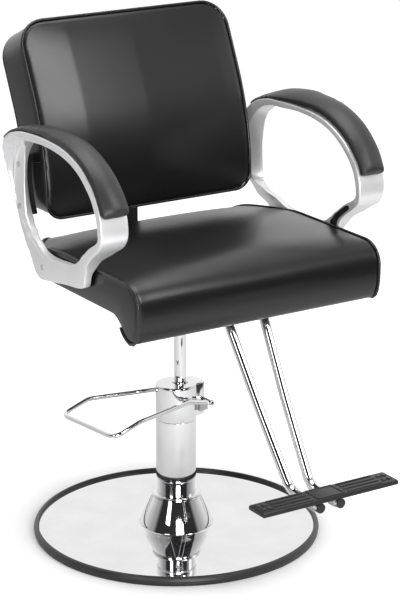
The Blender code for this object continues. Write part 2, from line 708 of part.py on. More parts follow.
def build_pedal(pivot):
    """Pedal loop, cross shaft and cam, about the shaft's axis."""
    shaft = bmesh.new()
    add_turned(shaft, sleeve(SHAFT_BORE, SHAFT_RADIUS, -SHAFT_HALF_LENGTH, SHAFT_HALF_LENGTH), SMALL_SEGMENTS,
               facing((0.0, 0.0, 0.0), (0.0, 1.0, 0.0)))
    piece("pedal_shaft", shaft, "chrome", pivot)

    start = -SHAFT_RADIUS - CLEAR
    neck_end = -PIVOT_X - 0.005
    flare_end = -PIVOT_X - PEDAL_REACH + 0.065
    bar = -PIVOT_X - PEDAL_REACH
    half = [(start, PEDAL_NECK_HALF, 0.0), (neck_end, PEDAL_NECK_HALF, PEDAL_RISE * 0.7),
            (flare_end, PEDAL_HALF_WIDTH, PEDAL_RISE), (bar, PEDAL_HALF_WIDTH, 0.0)]
    points = [(x, -y, z) for x, y, z in half] + half[::-1]
    radii = [0.05, 0.05, PEDAL_CORNER, PEDAL_CORNER, 0.05, 0.05]
    loop = rounded_path(points, radii, math.radians(18.0))
    piece("pedal_loop", tube(loop, WIRE_RADIUS, 10), "chrome", pivot)

    cam = bmesh.new()
    bore = SHAFT_RADIUS + CLEAR
    ring_radius = bore + CAM_HUB_WALL
    turn = facing((0.0, 0.0, 0.0), (0.0, 1.0, 0.0))
    add_turned(cam, sleeve(bore, ring_radius, -CAM_HALF_WIDTH, CAM_HALF_WIDTH), SMALL_SEGMENTS, turn)
    cam_piece = piece("pump_cam", cam, "steel", pivot)
    finger = bmesh.new()
    tip = facing((-CAM_ARM, 0.0, 0.0), (0.0, 1.0, 0.0))
    add_turned(finger, rod(CAM_RADIUS, -CAM_HALF_WIDTH, CAM_HALF_WIDTH), SMALL_SEGMENTS, tip)
    combine(cam_piece, tool("cam_tip", finger, pivot), "UNION")
    web = bmesh.new()
    add_box(web, (-CAM_ARM, -CAM_HALF_WIDTH, -CAM_RADIUS * 0.8),
            (-bore - 0.0008, CAM_HALF_WIDTH, CAM_RADIUS * 0.8))
    combine(cam_piece, tool("cam_web", web, pivot), "UNION")


# Ram and piston, on the swivel axis

def piston_low():
    return BASE_PLATE_THICKNESS + 2.0 * CLEAR + VALVE_HEIGHT + PISTON_FLOOR_GAP + LIFT_TRAVEL


def build_lift(axis):
    low = piston_low()
    high = low + PISTON_HEIGHT
    radius = LINER_BORE - RUN_CLEAR
    groove_low = (low + high - SEAL_HEIGHT) / 2.0
    groove_high = groove_low + SEAL_HEIGHT
    core = radius - SEAL_DEPTH
    piston = [(0.0, low), (radius, low), (radius, groove_low), (core, groove_low), (core, groove_high),
              (radius, groove_high), (radius, high), (0.0, high)]
    piece("piston_head", turned(piston, RAM_SEGMENTS), "steel", axis)
    seal = sleeve(core + CLEAR, LINER_BORE - CLEAR, groove_low + CLEAR, groove_high - CLEAR)
    piece("piston_seal", turned(seal, RAM_SEGMENTS), "rubber", axis)
    washer = rod(RAM_RADIUS, high + CLEAR, high + CLEAR + WASHER_HEIGHT)
    piece("thrust_washer", turned(washer, RAM_SEGMENTS), "bronze", axis)


def bracket_heights():
    """Top and bottom of the bracket plate below the seat cushion."""
    top = -BOARD_THICKNESS - 2.0 * CLEAR
    return top, top - BRACKET_THICKNESS


def build_ram(axis):
    low = piston_low() + PISTON_HEIGHT + WASHER_HEIGHT + 2.0 * CLEAR
    high = SEAT_HEIGHT + bracket_heights()[1] - CLEAR
    ram = [(0.0, low), (RAM_RADIUS - 0.001, low), (RAM_RADIUS, low + 0.001), (RAM_RADIUS, high - 0.002),
           (RAM_RADIUS - 0.002, high), (0.0, high)]
    piece("ram", turned(ram, RAM_SEGMENTS), "chrome", axis)


# Seat

def seat_top(y):
    """Height of the seat's upper seam, with a rounded nose in front and a rounded rear edge."""
    nose = -SEAT_FRONT + SEAT_NOSE_RADIUS
    rear = SEAT_REAR - SEAT_REAR_RADIUS
    if nose <= y <= rear:
        return SEAT_SIDE_HEIGHT
    radius, past = (SEAT_NOSE_RADIUS, nose - y) if y < nose else (SEAT_REAR_RADIUS, y - rear)
    return SEAT_SIDE_HEIGHT - radius + math.sqrt(max(0.0, radius ** 2 - past ** 2))


def seat_bottom(y):
    """Height of the seat's lower edge: flat, then down the back of the lip."""
    lip_back = -SEAT_FRONT + LIP_WIDTH
    share = min(1.0, max(0.0, (-LIP_ROOT - y) / (-LIP_ROOT - lip_back)))
    front = max(0.0, (lip_back - y) / LIP_WIDTH - 0.6)
    return -LIP_DROP * share + LIP_NOSE_RISE * front / 0.4


def seat_half_width(y):
    """The seat narrows round its rear corners."""
    past = max(0.0, y - SEAT_REAR + SEAT_REAR_CORNER)
    return SEAT_HALF_WIDTH - SEAT_REAR_CORNER + math.sqrt(max(0.0, SEAT_REAR_CORNER ** 2 - past ** 2))


def seat_stations():
    """Cross-section places from the nose to the rear edge, closer together where the outline bends."""
    nose = [-SEAT_FRONT + SEAT_NOSE_RADIUS * (1.0 - math.cos(math.radians(angle))) for angle in (10, 35, 60)]
    lip = [-SEAT_FRONT + LIP_WIDTH, -LIP_ROOT]
    rear = SEAT_REAR - SEAT_REAR_CORNER
    middle = [-LIP_ROOT + (rear + LIP_ROOT) * index / 6 for index in range(1, 7)]
    corner = [rear + SEAT_REAR_CORNER * math.sin(math.radians(angle)) for angle in (25, 45, 60, 72, 84)]
    return nose + lip + middle + corner


def seat_section(y):
    """Closed ring of (x, z) round the seat at one place: crowned top, swelling sides, flat underside."""
    half, top, bottom = seat_half_width(y), seat_top(y), seat_bottom(y)
    along = (y + SEAT_FRONT) / (SEAT_FRONT + SEAT_REAR)
    crown = SEAT_CROWN * (0.30 + 0.70 * math.sin(math.pi * along) ** 0.8)
    columns = 12
    shares = [2.0 * index / columns - 1.0 for index in range(columns + 1)]
    upper = [(share * half, top + crown * swell_share(share)) for share in shares]
    levels = (0.15, 0.5, 0.85)
    swells = [SEAT_SIDE_BULGE * math.sin(math.pi * level) ** 0.5 for level in levels]
    down = [(half + swell, top + (bottom - top) * level) for level, swell in zip(levels, swells)]
    under = [(half * share, bottom) for share in (1.0, 0.5, 0.0, -0.5, -1.0)]
    up = [(-x, z) for x, z in down[::-1]]
    return upper + down + under + up


def build_seat_cushion(seat):
    bm = bmesh.new()
    rings = [[bm.verts.new((x, y, z)) for x, z in seat_section(y)] for y in seat_stations()]
    skin(bm, rings)
    front = bm.faces.new(rings[0])
    bm.faces.new(rings[-1])
    bmesh.ops.recalc_face_normals(bm, faces=bm.faces)
    bmesh.ops.inset_region(bm, faces=[front], thickness=0.012, depth=SEAT_FRONT_CROWN)
    piece("seat_cushion", bm, "leather", seat)


def build_seat_bracket(seat):
    top, bottom = bracket_heights()
    board_top = -CLEAR
    board = rounded_outline([(-BOARD_HALF_WIDTH, -BOARD_FRONT, 0.03), (BOARD_HALF_WIDTH, -BOARD_FRONT, 0.03),
                             (BOARD_HALF_WIDTH, BOARD_REAR, 0.05), (-BOARD_HALF_WIDTH, BOARD_REAR, 0.05)])
    board_piece = piece("seat_board", prism(board, board_top - BOARD_THICKNESS, board_top), "plywood", seat)

    inset = BRACKET_BOLT_INSET
    bolt_spots = [((x, y, bottom), (0.0, 0.0, 1.0))
                  for x in (inset - BRACKET_HALF_WIDTH, BRACKET_HALF_WIDTH - inset)
                  for y in (inset - BRACKET_FRONT, BRACKET_REAR - inset)]
    plate = rounded_outline([(-BRACKET_HALF_WIDTH, -BRACKET_FRONT, BRACKET_CORNER),
                             (BRACKET_HALF_WIDTH, -BRACKET_FRONT, BRACKET_CORNER),
                             (BRACKET_HALF_WIDTH, BRACKET_REAR, BRACKET_CORNER),
                             (-BRACKET_HALF_WIDTH, BRACKET_REAR, BRACKET_CORNER)], math.radians(45.0))
    bracket = piece("seat_bracket", prism(plate, bottom, top), "black_steel", seat)
    hub = sleeve(RAM_RADIUS + CLEAR, HUB_RADIUS, bottom - HUB_HEIGHT, bottom + BRACKET_THICKNESS / 2.0)
    combine(bracket, tool("ram_socket", turned(hub, RAM_SEGMENTS), seat), "UNION")
    drill(bracket, BRACKET_BOLT, bolt_spots, seat)
    drill(board_piece, BRACKET_BOLT, bolt_spots, seat)
    fasteners("bracket_bolt", BRACKET_BOLT, bolt_spots, "steel", seat)
    return bracket


# Back

def back_length():
    return BACK_UPRIGHT + LUMBAR_RADIUS * RECLINE + BACK_TOP_RUN


def back_point(across, along, depth):
    """Point of the back: along its front seam from the bottom, depth forward of the seam plane."""
    lean = min(max((along - BACK_UPRIGHT) / LUMBAR_RADIUS, 0.0), RECLINE)
    beyond = along - BACK_UPRIGHT - LUMBAR_RADIUS * lean
    y = BACK_FRONT + LUMBAR_RADIUS * (1.0 - math.cos(lean)) + beyond * math.sin(lean)
    z = BACK_BOTTOM + BACK_UPRIGHT + LUMBAR_RADIUS * math.sin(lean) + beyond * math.cos(lean)
    return Vector((across, y - depth * math.cos(lean), z + depth * math.sin(lean)))


def back_normal(along):
    """Forward direction of the back's front face."""
    return (back_point(0.0, along, 1.0) - back_point(0.0, along, 0.0)).normalized()


def build_back(seat):
    length = back_length()
    rows = corner_rows(length, BACK_HALF_WIDTH, BACK_BOTTOM_CORNER, BACK_TOP_CORNER, 9)

    def crown(share, along):
        return BACK_CROWN * swell_share(share) * swell_share(2.0 * along / length - 1.0)

    cushion = slab(rows, 10, back_point, crown, lambda share, along: -BACK_THICKNESS,
                   -BACK_THICKNESS / 2.0, BACK_BORDER_BULGE)
    piece("back_cushion", cushion, "leather", seat)

    front = -BACK_THICKNESS - CLEAR
    rear = front - SHELL_THICKNESS
    shell_rows = [(SHELL_INSET + along * (1.0 - 2.0 * SHELL_INSET / length), half - SHELL_INSET)
                  for along, half in rows]
    shell_bm = slab(shell_rows, 2, back_point, lambda share, along: front - 0.0003,
                    lambda share, along: rear, (front + rear) / 2.0, 0.001)
    shell = piece("back_shell", shell_bm, "plastic", seat)
    return shell, rear


def build_back_bar(seat, bracket, shell, shell_rear):
    depth = shell_rear - 2.0 * CLEAR - BAR_THICKNESS / 2.0
    level = bracket_heights()[1] - CLEAR - BAR_THICKNESS / 2.0
    upright = back_point(0.0, 0.0, depth).yz
    curve_end = BACK_UPRIGHT + LUMBAR_RADIUS * BAR_TURN
    steps = 6
    climb = [back_point(0.0, BACK_UPRIGHT + (curve_end - BACK_UPRIGHT) * index / steps, depth).yz
             for index in range(steps + 1)]
    path = rounded_path([(BAR_UNDER_SEAT, level), (upright.x, level), tuple(climb[0])], [BAR_BEND])
    path += climb[1:]
    bar = piece("back_bar", ribbon(path, BAR_HALF_WIDTH, BAR_THICKNESS), "black_steel", seat)

    bolt_y = BAR_UNDER_SEAT + 0.024
    under = [((x, bolt_y, level - BAR_THICKNESS / 2.0), (0.0, 0.0, 1.0)) for x in (-0.015, 0.015)]
    drill(bar, BAR_BOLT, under, seat)
    drill(bracket, BAR_BOLT, under, seat)
    fasteners("back_bar_bolt", BAR_BOLT, under, "steel", seat)

    behind = [(back_point(0.0, along, depth - BAR_THICKNESS / 2.0), back_normal(along))
              for along in (BACK_UPRIGHT * 0.75, curve_end - 0.022)]
    bar_holes = bmesh.new()
    for place, direction in behind:
        hole = rod(BACK_SCREW.shank_radius + CLEAR, -BAR_THICKNESS, BACK_SCREW.shank_length + CLEAR)
        add_turned(bar_holes, hole, SCREW_SEGMENTS, facing(place, direction))
    cutter = tool("holes_back_screws", bar_holes, seat)
    combine(bar, cutter, "DIFFERENCE")
    combine(shell, cutter, "DIFFERENCE")
    fasteners("back_screw", BACK_SCREW, behind, "steel", seat)


# Arms

def arm_stations():
    """Stations round the arm loop.

    Each holds the outside (y, z), the opening (y, z), the inner and outer X, how far the hoop round the
    opening lies below the outer face, how far the opening closes in towards the outer face, the share of
    the depth that the hoop takes, and the tilt. The band on top is wide in X and thin, the plate on the
    seat's side is thin in X, and the rear leg is slim with a raised rim behind a hollow.
    """
    band = (ARM_INNER, ARM_OUTER)
    seat_side = SEAT_HALF_WIDTH + SEAT_SIDE_BULGE + 2.0 * CLEAR
    plate = (seat_side, seat_side + ARM_PLATE_THICKNESS)
    leg = ARM_LEG_INNER
    groove = ARM_GROOVE

    def strut(share):
        return tuple(a + (b - a) * share for a, b in zip(band, plate))

    return [
        (0.040, 0.296, 0.030, 0.280, *band, groove, 0.0, 0.50, ARM_TILT),
        (-0.035, 0.298, -0.035, 0.283, *band, groove, 0.0, 0.50, ARM_TILT),
        (-0.105, 0.292, -0.100, 0.276, *band, groove, 0.0, 0.50, ARM_TILT),
        (-0.160, 0.273, -0.150, 0.259, *band, groove, 0.0, 0.50, ARM_TILT),
        (-0.203, 0.243, -0.190, 0.231, *band, groove, 0.0, 0.50, ARM_TILT * 0.7),
        (-0.231, 0.206, -0.215, 0.200, *band, groove, 0.0, 0.50, ARM_TILT * 0.2),
        (-0.240, 0.166, -0.225, 0.166, *band, groove, 0.0, 0.50, 0.0),
        (-0.231, 0.138, -0.219, 0.147, *strut(0.05), groove, 0.0, 0.45, 0.0),
        (-0.197, 0.114, -0.185, 0.129, *strut(0.30), groove, 0.0, 0.40, 0.0),
        (-0.161, 0.090, -0.146, 0.105, *strut(0.65), groove, 0.0, 0.30, 0.0),
        (-0.140, 0.060, -0.113, 0.083, *plate, groove, 0.0, 0.20, 0.0),
        (-0.126, 0.034, -0.088, 0.069, *plate, groove, 0.0, 0.12, 0.0),
        (-0.060, 0.024, -0.050, 0.065, *plate, groove, 0.0, 0.12, 0.0),
        (0.000, 0.015, -0.012, 0.063, *plate, groove, 0.0, 0.12, 0.0),
        (0.045, 0.014, 0.022, 0.066, *plate, groove, 0.0, 0.14, 0.0),
        (0.093, 0.058, 0.060, 0.080, leg + 0.0185, leg + 0.0325, groove, 0.0, 0.25, 0.0),
        (0.127, 0.084, 0.096, 0.095, leg + 0.0090, leg + 0.0255, groove, 0.0, 0.40, 0.0),
        (0.148, 0.114, 0.122, 0.109, leg + 0.0015, leg + 0.0225, groove, 0.008, 0.60, 0.0),
        (0.157, 0.137, 0.138, 0.132, leg, leg + 0.0235, 0.0012, 0.020, 0.68, 0.0),
        (0.166, 0.172, 0.146, 0.166, leg, leg + 0.0280, 0.0060, 0.026, 0.70, 0.0),
        (0.170, 0.203, 0.147, 0.196, leg, leg + 0.0340, 0.0120, 0.027, 0.72, 0.0),
        (0.167, 0.228, 0.140, 0.226, leg, leg + 0.0410, 0.0180, 0.026, 0.74, 0.0),
        (0.157, 0.251, 0.122, 0.250, leg + 0.001, leg + 0.0480, 0.0220, 0.022, 0.76, 0.0),
        (0.130, 0.274, 0.097, 0.269, leg + 0.002, leg + 0.0560, 0.0200, 0.010, 0.68, ARM_TILT * 0.2),
        (0.090, 0.289, 0.066, 0.278, leg + 0.002, leg + 0.0600, 0.0080, 0.004, 0.56, ARM_TILT * 0.7),
    ]


def arm_spot(ring, depth, x, level):
    """Point of an arm ring: depth 0 at the opening to 1 at the outside, x across, then a level beyond."""
    opening = Vector((ring.inner_y, ring.inner_z))
    outside = Vector((ring.outer_y, ring.outer_z))
    out = (outside - opening).normalized()
    lean = ring.tilt * (x - (ring.low + ring.high) / 2.0) / (ring.high - ring.low)
    return opening + (outside - opening) * depth + out * (level + lean)


def arm_section(ring):
    """Corners of an arm ring as (depth, level, x): opening, hoop face, rim, outside and inner face."""
    low, high, flare, share = ring.low, ring.high, ring.flare, ring.share
    deep = math.hypot(ring.outer_y - ring.inner_y, ring.outer_z - ring.inner_z)
    cut = min(ARM_CHAMFER, 0.25 * deep)
    face = high - ring.drop
    lift = ARM_INNER_LIFT * ring.tilt
    return [(0.0, cut + lift, low), (0.0, lift, low + cut), (0.0, -flare, face - cut),
            (0.0, cut - flare, face), (share, 0.0, face), (share, 0.0, high), (1.0, -cut, high),
            (1.0, 0.0, high - cut), (1.0, 0.0, low + cut), (1.0, -cut, low)]


def build_arm(seat, side, label):
    rings = [ArmRing(*values) for values in smooth_loop(arm_stations(), ARM_STEPS, 4)]
    bm = bmesh.new()
    skins = []
    for ring in rings:
        verts = []
        for depth, level, x in arm_section(ring):
            spot = arm_spot(ring, depth, x, level)
            verts.append(bm.verts.new((side * x, spot.x, spot.y)))
        skins.append(verts)
    skin(bm, skins, wrap=True)
    arm = piece("arm_frame_" + label, bm, "silver", seat)

    inward = (-side, 0.0, 0.0)
    cap_face = ARM_LEG_INNER + ARM_CAP_STAND
    leg_spots = [((side * cap_face, *spot), inward) for spot in ARM_CAP_SPOTS]
    plate_face = SEAT_HALF_WIDTH + SEAT_SIDE_BULGE + 2.0 * CLEAR + ARM_PLATE_THICKNESS
    plate_spots = [((side * plate_face, *ARM_PLATE_SPOT), inward)]
    drill(arm, LEG_SCREW, leg_spots, seat)
    drill(arm, PLATE_SCREW, plate_spots, seat)
    fasteners("arm_leg_screw_" + label, LEG_SCREW, leg_spots, "silver", seat)
    fasteners("arm_plate_screw_" + label, PLATE_SCREW, plate_spots, "silver", seat)

    strip = bmesh.new()
    outline = rounded_outline(BACKING_OUTLINE, math.radians(45.0))
    far_x = ARM_LEG_INNER - 2.0 * CLEAR
    near_x = BACK_HALF_WIDTH + BACK_BORDER_BULGE + 2.0 * CLEAR
    far = [strip.verts.new((side * far_x, *spot)) for spot in outline]
    near = [strip.verts.new((side * near_x, *spot)) for spot in outline]
    skin(strip, [near, far])
    strip.faces.new(near)
    strip.faces.new(far)
    piece("arm_backing_" + label, strip, "plastic", seat)
    build_pad(seat, side, label, rings)


def build_pad(seat, side, label, rings):
    """Crowned pad along the top of the band, from its rear end to the front post."""
    first, end = PAD_RINGS
    ordered = rings[first:] + rings[:end]
    last = len(ordered) - 1
    rows = []
    for index, ring in enumerate(ordered):
        width = (ring.high - ring.low) / 2.0 - PAD_INSET
        if index == last:
            width -= PAD_END_INSET
        rows.append((float(index), width))

    def place(across, along, depth):
        ring = ordered[int(round(along))]
        x = (ring.low + ring.high) / 2.0 + across
        spot = arm_spot(ring, 1.0, x, depth)
        return Vector((side * x, spot.x, spot.y))

    def top(share, along):
        rear = min(start + growth * along for start, growth in PAD_REAR_RISES)
        front = PAD_FRONT_RISE[0] + PAD_FRONT_RISE[1] * (last - along)
        ends = min(1.0, rear, front)
        return PAD_GAP + ends * (PAD_EDGE + PAD_CROWN * (1.0 - share * share) ** 0.7)

    bm = slab(rows, 6, place, top, lambda share, along: PAD_GAP, PAD_GAP + PAD_EDGE * 0.35, 0.0)
    piece("arm_pad_" + label, bm, "leather", seat)


# Footrest

def rail_path(side):
    """Centre line of one footrest rail, from under the seat bracket to the front of the tread."""
    level = bracket_heights()[1] - CLEAR - RAIL_RADIUS
    foot = TREAD_TOP - TREAD_THICKNESS - CLEAR - RAIL_RADIUS
    top, knee, shin, end = RAIL_SPREADS
    points = [(top, -RAIL_START, level), (knee, -RAIL_KNEE, level), (shin, *RAIL_SHIN),
              (end, -RAIL_FOOT, foot), (end, RAIL_END_INSET - TREAD_FRONT, foot)]
    bends = [RAIL_BEND, RAIL_SHIN_BEND, RAIL_FOOT_BEND]
    return rounded_path([(side * x, y, z) for x, y, z in points], bends, math.radians(18.0))


def build_footrest(seat, bracket):
    foot_spots = []
    for side, label in ((-1.0, "left"), (1.0, "right")):
        path = rail_path(side)
        piece("footrest_rail_" + label, tube(path, RAIL_RADIUS, RAIL_SIDES, RAIL_BORE), "chrome", seat)
        end = path[-1]
        stem = RAIL_BORE * 0.96 - CLEAR
        plug = [(0.0, -PLUG_DEPTH), (stem, -PLUG_DEPTH), (stem, CLEAR),
                (RAIL_RADIUS, CLEAR), (RAIL_RADIUS, CLEAR + PLUG_CAP * 0.6),
                (RAIL_RADIUS * 0.75, CLEAR + PLUG_CAP), (0.0, CLEAR + PLUG_CAP)]
        bm = bmesh.new()
        add_turned(bm, plug, RAIL_SIDES, facing(end, (0.0, -1.0, 0.0)))
        piece("rail_plug_" + label, bm, "plastic", seat)
        foot_spots.append(end)

    bottom = bracket_heights()[1]
    clamp_top = bottom - 2.0 * CLEAR - 2.0 * RAIL_RADIUS
    clamp_low = clamp_top - CLAMP_THICKNESS
    clamp = bmesh.new()
    add_box(clamp, (-CLAMP_HALF_LENGTH, CLAMP_Y - CLAMP_HALF_WIDTH, clamp_low),
            (CLAMP_HALF_LENGTH, CLAMP_Y + CLAMP_HALF_WIDTH, clamp_top))
    clamp_piece = piece("footrest_clamp", clamp, "black_steel", seat)
    reach = CLAMP_HALF_LENGTH - CLAMP_BOLT_INSET
    spots = [((x, CLAMP_Y, clamp_low), (0.0, 0.0, 1.0)) for x in (-reach, reach)]
    drill(clamp_piece, CLAMP_BOLT, spots, seat)
    drill(bracket, CLAMP_BOLT, spots, seat)
    fasteners("clamp_bolt", CLAMP_BOLT, spots, "steel", seat)
    build_tread(seat, foot_spots)


def build_tread(seat, rail_ends):
    low = TREAD_TOP - TREAD_THICKNESS
    outline = rounded_outline([(-TREAD_HALF_LENGTH, -TREAD_FRONT, TREAD_CORNER),
                               (TREAD_HALF_LENGTH, -TREAD_FRONT, TREAD_CORNER),
                               (TREAD_HALF_LENGTH, -TREAD_REAR, TREAD_CORNER),
                               (-TREAD_HALF_LENGTH, -TREAD_REAR, TREAD_CORNER)], math.radians(45.0))
    tread = piece("footrest_tread", prism(outline, low, TREAD_TOP - RIB_HEIGHT), "plastic", seat)

    ribs = bmesh.new()
    rib_low = TREAD_TOP - 2.0 * RIB_HEIGHT
    width = TREAD_FRONT - TREAD_REAR
    pitch = (width - RIB_WIDTH - 0.008) / (RIB_COUNT - 1)
    first = -TREAD_FRONT + 0.004
    stud_start = TREAD_HALF_LENGTH - 0.028
    for side in (-1.0, 1.0):
        for index in range(RIB_COUNT):
            y = first + pitch * index
            span = sorted((side * (FRAME_HALF_LENGTH + 0.008), side * (stud_start - 0.006)))
            add_box(ribs, (span[0], y, rib_low), (span[1], y + RIB_WIDTH, TREAD_TOP))
        for column in range(2):
            for row in range(2):
                x = side * (stud_start + 0.005 + column * (STUD_SIZE + 0.003)) - STUD_SIZE / 2.0
                y = -TREAD_FRONT + width * (0.32 + 0.36 * row) - STUD_SIZE / 2.0
                add_box(ribs, (x, y, rib_low), (x + STUD_SIZE, y + STUD_SIZE, TREAD_TOP))
    frame_y = (-TREAD_FRONT + 0.003, -TREAD_REAR - 0.003)
    add_box(ribs, (-FRAME_HALF_LENGTH, frame_y[0], rib_low), (FRAME_HALF_LENGTH, frame_y[1], TREAD_TOP))
    combine(tread, tool("tread_ribs", ribs, seat), "UNION")

    build_strap(seat, tread, rail_ends)


def build_strap(seat, tread, rail_ends):
    """One pressed strap that holds both rails up against the tread."""
    seat_z = TREAD_TOP - TREAD_THICKNESS - CLEAR
    middle = -(TREAD_FRONT + TREAD_REAR) / 2.0
    inner = RAIL_RADIUS + CLEAR
    outer = inner + STRAP_THICKNESS
    reach = max(end.x for end in rail_ends) + outer + STRAP_EAR
    lower = [(-reach, seat_z - STRAP_THICKNESS)]
    upper = [(-reach, seat_z)]
    for end in sorted(rail_ends, key=lambda spot: spot.x):
        lower += hump(end, outer, seat_z - STRAP_THICKNESS)
        upper += hump(end, inner, seat_z)
    lower.append((reach, seat_z - STRAP_THICKNESS))
    upper.append((reach, seat_z))
    shape = lower + upper[::-1]
    bm = bmesh.new()
    front = [bm.verts.new((x, middle - STRAP_LENGTH / 2.0, z)) for x, z in shape]
    rear = [bm.verts.new((x, middle + STRAP_LENGTH / 2.0, z)) for x, z in shape]
    skin(bm, [front, rear])
    bm.faces.new(front)
    bm.faces.new(rear)
    strap = piece("tread_strap", bm, "steel", seat)
    spots = [((0.0, middle, seat_z - STRAP_THICKNESS), (0.0, 0.0, 1.0))]
    drill(strap, STRAP_SCREW, spots, seat)
    drill(tread, STRAP_SCREW, spots, seat)
    fasteners("strap_screw", STRAP_SCREW, spots, "steel", seat)


def hump(end, radius, level):
    """U of the strap under one rail, starting and ending on the strap's flat."""
    count = 12
    angles = [math.pi + math.pi * index / count for index in range(count + 1)]
    arc = [(end.x + radius * math.cos(angle), end.z + radius * math.sin(angle)) for angle in angles]
    return [(end.x - radius, level)] + arc + [(end.x + radius, level)]


def main():
    clear_scene()
    column = (-RAM_OFFSET * math.cos(PUMP_ANGLE), -RAM_OFFSET * math.sin(PUMP_ANGLE), 0.0)
    pump = empty("pump_axis", column, None, PUMP_ANGLE)
    pivot = empty("pedal_axis", (PIVOT_X, 0.0, PIVOT_Z), pump)
    axis = empty("swivel_axis", (0.0, 0.0, 0.0))
    seat = empty("seat_carriage", (0.0, 0.0, SEAT_HEIGHT), axis)

    build_base(pump)
    build_pump(pump)
    build_pedal(pivot)
    build_lift(axis)
    build_ram(axis)
    build_seat_cushion(seat)
    bracket = build_seat_bracket(seat)
    shell, shell_rear = build_back(seat)
    build_back_bar(seat, bracket, shell, shell_rear)
    for side, label in ((-1.0, "left"), (1.0, "right")):
        build_arm(seat, side, label)
    build_footrest(seat, bracket)


main()
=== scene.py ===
# %% [markdown]
# # A hydraulic hairdressing chair
# The chair stands on a round chrome base with a pump, and its padded seat, back and arms turn on the ram.
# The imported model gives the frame: every solid is where it belongs, and it moves with its body. This
# lesson puts the looks round that frame, piece by piece, in metres and in the same place.

# %% Load the frame
import math
from collections import namedtuple

import bmesh
import bpy
from mathutils import Matrix, Vector
from mathutils.kdtree import KDTree


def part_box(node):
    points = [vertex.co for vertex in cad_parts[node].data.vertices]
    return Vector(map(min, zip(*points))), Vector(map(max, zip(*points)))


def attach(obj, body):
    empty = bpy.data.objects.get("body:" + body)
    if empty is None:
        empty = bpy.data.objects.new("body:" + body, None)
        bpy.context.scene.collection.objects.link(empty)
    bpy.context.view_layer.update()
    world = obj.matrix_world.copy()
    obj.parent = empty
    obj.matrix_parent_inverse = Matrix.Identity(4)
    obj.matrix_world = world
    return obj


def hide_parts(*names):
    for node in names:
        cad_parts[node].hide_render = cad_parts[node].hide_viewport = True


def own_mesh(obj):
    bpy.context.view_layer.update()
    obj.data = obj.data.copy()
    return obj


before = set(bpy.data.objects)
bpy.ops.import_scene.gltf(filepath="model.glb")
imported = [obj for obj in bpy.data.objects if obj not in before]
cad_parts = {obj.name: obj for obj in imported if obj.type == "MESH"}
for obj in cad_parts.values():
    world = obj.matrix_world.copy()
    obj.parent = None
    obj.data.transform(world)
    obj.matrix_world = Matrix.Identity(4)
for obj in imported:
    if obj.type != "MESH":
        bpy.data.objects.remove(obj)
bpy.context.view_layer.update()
scene = bpy.context.scene
SIDES = ((-1.0, "left"), (1.0, "right"))

# %% [markdown]
# ## Camera
# The camera stands where the photograph was taken from: points whose place on the chair is known were
# matched with their pixels. Placing it by eye would be quicker, but every later comparison of shapes
# rests on it. A long lens from 4.6 metres gives the same slight perspective.

# %% Camera
AZIMUTH = math.radians(-32.562)
ELEVATION = math.radians(17.7225)
DISTANCE = 4.6037
TARGET = Vector((0.0744, 0.0425, 0.4543))

back_off = Vector((math.sin(AZIMUTH) * math.cos(ELEVATION), -math.cos(AZIMUTH) * math.cos(ELEVATION),
                   math.sin(ELEVATION)))
lens = bpy.data.cameras.new("camera")
lens.sensor_fit = "VERTICAL"
lens.sensor_height = 36.0
lens.lens = 135.95
lens.dof.use_dof = False
camera = bpy.data.objects.new("camera", lens)
camera.location = TARGET + back_off * DISTANCE
camera.rotation_euler = back_off.to_track_quat("Z", "Y").to_euler()
scene.collection.objects.link(camera)
scene.camera = camera
print("camera at", [round(value, 3) for value in camera.location])

# %% [markdown]
# ## Building materials from nodes
# A material is a small network of nodes. The nodes could be wired by hand in the editor, but helpers keep
# each network to a few lines that can be read. Effects that several materials share, such as grain, are
# node groups that are built once: two colours and a range of roughness go in, and what varies over the
# surface comes out.


# %% Node helpers
def node(tree, kind, feeds=None, **settings):
    """Add a node; feeds maps an input to a value or to another node's output."""
    made = tree.nodes.new(kind)
    for key, value in settings.items():
        setattr(made, key, value)
    for key, value in (feeds or {}).items():
        if isinstance(value, bpy.types.NodeSocket):
            tree.links.new(value, made.inputs[key])
        else:
            made.inputs[key].default_value = value
    return made


def mapped(tree, value, low, high, to_low, to_high):
    """Stretch a value from one range to another."""
    feeds = {"Value": value, "From Min": low, "From Max": high, "To Min": to_low, "To Max": to_high}
    return node(tree, "ShaderNodeMapRange", feeds).outputs["Result"]


def maths(tree, operation, first, second):
    return node(tree, "ShaderNodeMath", {0: first, 1: second}, operation=operation).outputs[0]


def measure(tree, operation, *vectors):
    """Number from vectors, such as a length or a dot product."""
    return node(tree, "ShaderNodeVectorMath", dict(enumerate(vectors)), operation=operation).outputs["Value"]


def noise(tree, place, scale, detail=3.0):
    feeds = {"Vector": place, "Scale": scale, "Detail": detail}
    return node(tree, "ShaderNodeTexNoise", feeds).outputs["Fac"]


print("helpers: node, mapped, maths, measure, noise")


# %% Effect helpers
def start_effect(name):
    """Start an effect: a shader node group that works in object coordinates."""
    tree = bpy.data.node_groups.new(name, "ShaderNodeTree")
    return tree, node(tree, "ShaderNodeTexCoord").outputs["Object"]


